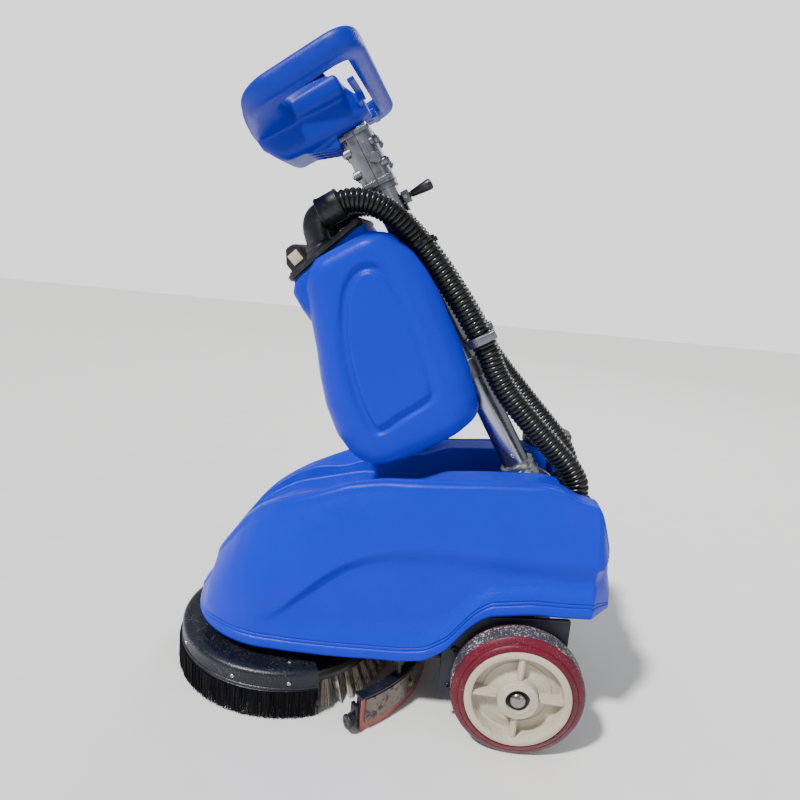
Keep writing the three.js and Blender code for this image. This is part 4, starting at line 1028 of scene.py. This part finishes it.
def make_tank():
    shape = Shape()
    low, high = TANK_LEVELS[0][0], TANK_LEVELS[-1][0]
    # The levels lie closest at the rounded bottom (24 mm) and top (28 mm).
    heights = [low + 24 * (i / 14) ** 1.6 for i in range(14)]
    heights += [low + 24 + (high - low - 52) * i / 122 for i in range(122)]
    heights += [high - 28 * (1 - i / 24) ** 1.5 for i in range(25)]
    shape.rings([tank_ring(z) for z in heights])
    tank = piece("recovery_tank_shell", shape, COLUMN, BLUE, ["recovery_tank"], None, 45)
    rings = []
    for z, front, half, radius in NECK_LEVELS:
        middle = (NECK_BACK + front) / 2
        outline = rounded_rect((NECK_BACK - front) / 2, half, radius, middle, 0, 10)
        rings.append([(x, y, z) for x, y in outline])
    neck = Shape().rings(rings)
    lid_room = Shape().box(-95, 95, -84, 84, 0, 30)
    for name, form, operation in (("tank_neck", neck, "UNION"),
                                  ("lid_room", lid_room, "DIFFERENCE")):
        tool = piece(name, form, LID, BLUE, body=None, sharp=45)
        modify(tank, name, "BOOLEAN", operation=operation, solver="EXACT", object=tool)
        bpy.data.objects.remove(tool)
    tank.data.set_sharp_from_angle(angle=radians(45))
    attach(tank, "column")


def make_lid():
    gasket = Shape().plate(rounded_rect(68.5, 78, 20), 0.3, 2.3, 0.6, [rounded_rect(61, 70, 15)])
    piece("lid_seal", gasket, LID, HOSE, ["lid_gasket"], "column")
    lid = Shape()
    lid.plate(rounded_rect(71.5, 81, 22, steps=10), 2.6, 11.5, 2.6)
    lid.plate(rounded_rect(58, 68, 16, steps=8), 10, 12.4, 1.0)
    for side, _ in SIDES:
        lid.ring("z", 27, 19, 5, -6, side * 50, 11, 1.2)
    for x in (-60, 60):
        for y in (-70, 70):
            lid.screw((x, y, 11.6), (0, 0, 1), 3.6)
    piece("tank_lid_plate", lid, LID, BLACK, ["tank_lid"], "column")
    profile = [(-65, 12.7), (-31, 12.7), (-31, 40), (-35, 48), (-50, 50), (-65, 31)]
    box = Shape().side_plate(round_corners(profile, 4), -44, 44, 2.2)
    piece("lid_box_case", box, LID, BLACK, ["lid_box"], "column")
    patch = Shape().side_plate(rounded_rect(9, 9, 1, -46.5, 30), -44.8, -43.8, 0.2)
    patch.side_plate(rounded_rect(6.4, 6.4, 1, -46.5, 30), -45.3, -44.6, 0.2)
    piece("lid_box_patch", patch, LID, PATCH, body="column")
    cage = Shape().ring("z", 19, 16, 62, 20, 0, -60, 0.6)
    piece("float_guard", cage, LID, BLACK, ["float_cage"], "column")
    half_round = [(14 * sin(pi * i / 24), -44 - 14 * cos(pi * i / 24)) for i in range(1, 24)]
    ball = Shape().lathe([(0, -58)] + half_round + [(0, -30)], 32, Matrix.Translation((20, 0, 0)))
    piece("float_ball_hollow", ball, LID, NATURAL, ["float_ball"], "float")
    bracket = Shape().ring("z", 25.5, 22.3, 32, 0, 0, 230, 0.8)
    bracket.box(-9.6, -6.6, -62, 62, 232, 260)
    piece("tank_hanger", bracket, COLUMN, CAST, ["tank_bracket"], "column")


# ---- Hoses --------------------------------------------------------------------------------------

HOSE_RADIUS = 19
HOSE_PITCH = 7.4
HOSE_SAMPLES = 7  # sections for each rib
ELBOW_RADIUS = 18.6
ELBOW_HEIGHT = 561
TIE_HEIGHT = 453
HOSE_Y = 50
# Route of a hose in the column frame, from the lid elbow down to the column's clip and on to the
# ports, as (x, z) pairs. The near hose hugs the column more than the far one.
HOSE_TOP = [(-82, 561), (-72, 561), (-60, 561), (-40, 555), (-20, 541), (-3, 518), (8, 492), (18, 455),
    (27, 410), (34, 355), (38, 305), (38, 270)]
HOSE_FOOT = {-1: [(38, 253), (36, 228), (39, 185), (51, 130), (64, 80), (73, 46), (74, 14), (64, -7)],
    1: [(38, 252), (42, 225), (50, 185), (62, 130), (73, 80), (78, 46), (75, 14), (64, -7)]}
ELBOW_ROUTE = [(-117, 520), (-117, 530), (-113, 547), (-104, 558), (-90, 561), (-78, 561)]


def smooth_route(points, spacing):
    """Points at even spacing along a smooth curve through the given ones."""
    dense = smooth_through([points[0], *points, points[-1]], 40) + [Vector(points[-1])]
    result, carried = [dense[0]], 0.0
    for before, after in zip(dense, dense[1:]):
        step = (after - before).length
        while step and carried + step >= spacing:
            share = (spacing - carried) / step
            before = before + (after - before) * share
            result.append(before)
            step = (after - before).length
            carried = 0.0
        carried += step
    return result


def make_hoses():
    for side, label in SIDES:
        route = smooth_route([Vector((x, side * HOSE_Y, z)) for x, z in HOSE_TOP + HOSE_FOOT[side]],
            HOSE_PITCH / HOSE_SAMPLES)

        def ribbed(i):
            phase = (i % HOSE_SAMPLES) / HOSE_SAMPLES
            return HOSE_RADIUS - 2.7 * (1 - abs(sin(pi * phase)) ** 0.7)

        shape = Shape().sweep(route, ribbed, 28)
        replaced = [f"hose_upper_{label}", f"hose_lower_{label}"]
        hose = piece(f"hose_{label}", shape, COLUMN, HOSE, replaced, None, 60)
        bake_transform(hose)

        elbow = Shape()
        bend = smooth_route([Vector((x, side * HOSE_Y, z)) for x, z in ELBOW_ROUTE], 3)
        elbow.sweep(bend, lambda i: ELBOW_RADIUS, 36)
        for outer, inner, length, x, edge in ((23, 19.3, 34, -94, 1.6), (24, 18, 5, -96, 1.2),
                (24, 19.3, 4, -64, 1.4)):
            elbow.ring("x", outer, inner, length, x, side * HOSE_Y, ELBOW_HEIGHT, edge, 56)
        to_column = COLUMN.inverted() @ LID
        elbow.lathe([(17, 12), (24, 12), (24, 17), (22.6, 19), (20.5, 21), (20, 26), (17, 26)], 56,
            to_column @ Matrix.Translation((-6, side * HOSE_Y, 0)))
        piece(f"elbow_{label}", elbow, COLUMN, BLACK, [f"lid_elbow_{label}"], "column")
        port = Shape().ring("z", 25, 22, 10, 298, side * HOSE_Y, 362.3, 1.4)
        piece(f"port_{label}", port, MM, BLACK, [f"hose_port_{label}"])
    clip = Shape().box(22.5, 44, -33, 33, 281, 291)
    tie = Shape()
    for side, _ in SIDES:
        y = side * HOSE_Y
        clip.ring("z", 23.5, 20.5, 14, 38, y, 279, 0.8)
        clip.box(30, 62, *span(side, 66, 76), 280, 292, 1.4)
        tie.ring("z", 21.2, 19.2, 4, 18, y, TIE_HEIGHT, 0.6)
        tie.box(36, 42, y - 3, y + 3, TIE_HEIGHT - 2, TIE_HEIGHT + 6, 0.8)
    piece("hose_saddle", clip, COLUMN, CAST, ["hose_clip"], "column")
    piece("hose_ties", tie, COLUMN, HOSE, body="column")


# ---- Pieces inside the body ---------------------------------------------------------------------

def keep(node, look, edge):
    """Gives a CAD solid its finish and softly broken edges."""
    obj = frame["nodes"][node]
    obj.data.materials.clear()
    obj.data.materials.append(look)
    modify(obj, "broken_edges", "BEVEL", apply=False, width=edge, segments=2, limit_method="ANGLE",
        angle_limit=radians(40))


def make_inside():
    for node, look in (("battery_pack", BLACK), ("clean_water_tank", NATURAL),
                       ("vacuum_motor", DARK_METAL), ("brush_motor", DARK_METAL),
                       ("brush_gearbox", CAST)):
        keep(node, look, 0.004 if look is NATURAL else 0.0012)


# ---- Camera, light and floor --------------------------------------------------------------------

def make_camera():
    yaw, pitch, roll = -0.0777, 0.2311, 0.0869
    place = (0.0837, -1.0492, 0.7339)
    forward = Vector((sin(yaw) * cos(pitch), cos(yaw) * cos(pitch), -sin(pitch)))
    level = Vector((cos(yaw), -sin(yaw), 0))
    upright = level.cross(forward)
    right = level * cos(roll) + upright * sin(roll)
    up = -level * sin(roll) + upright * cos(roll)
    camera = new_object("camera", bpy.data.cameras.new("camera"))
    camera.data.lens = 29.35
    camera.data.sensor_width = 36
    turn = Matrix((right, up, -forward)).transposed().to_4x4()
    camera.matrix_world = Matrix.Translation(place) @ turn
    bpy.context.scene.camera = camera


def make_light(name, kind, at, target, energy, **settings):
    data = bpy.data.lights.new(name, kind)
    assign(data, {"energy": energy, **settings})
    new_object(name, data).matrix_world = aim(at, Vector(at) - Vector(target))


def make_stage():
    size, drop = 6, -0.0004  # metres; the floor lies just under the object
    mesh = bpy.data.meshes.new("floor")
    corners = [(-size, -size, drop), (size, -size, drop), (size, size, drop), (-size, size, drop)]
    mesh.from_pydata(corners, [], [(0, 1, 2, 3)])
    mesh.materials.append(surface("pale_floor", (0.8, 0.8, 0.8), 0.7, 0, None, 0.02))
    floor = new_object("floor", mesh)
    warm = (1, 0.98, 0.95)
    make_light("key", "SUN", (-1.35, -1.6, 3.1), (0, 0, 0.4), 5.2, angle=radians(5), color=warm)
    make_light("fill", "AREA", (2.2, -2.2, 1.3), (0, 0, 0.4), 14, shape="DISK", size=2.0)
    make_light("back", "AREA", (1.0, 2.4, 2.4), (0, 0, 0.5), 26, shape="DISK", size=1.4)
    world = bpy.data.worlds.new("studio")
    world.use_nodes = True
    nodes, links = world.node_tree.nodes, world.node_tree.links
    # What the camera sees is a bright backdrop; the light that reaches the object is softer.
    choice = nodes.new("ShaderNodeMixShader")
    links.new(nodes.new("ShaderNodeLightPath").outputs["Is Camera Ray"], choice.inputs["Fac"])
    shades = ((nodes["Background"], (0.93, 0.96, 1, 1), 0.42),
        (nodes.new("ShaderNodeBackground"), (1, 1, 1, 1), 1.6))
    for socket, (shade, color, strength) in enumerate(shades, 1):
        shade.inputs["Color"].default_value = color
        shade.inputs["Strength"].default_value = strength
        links.new(shade.outputs["Background"], choice.inputs[socket])
    links.new(choice.outputs["Shader"], nodes["World Output"].inputs["Surface"])
    bpy.context.scene.world = world


make_camera()
make_hoses()
make_stage()
make_body()
make_filler_cap()
make_chassis()
for side, label in SIDES:
    make_wheel(side, label)
for make in (make_deck, make_skirt, make_brush, make_squeegee, make_pivot, make_column):
    make()
make_clamp(-1, "front")
make_clamp(1, "rear")
for make in (make_lever, make_handle, make_tank, make_lid, make_inside):
    make()
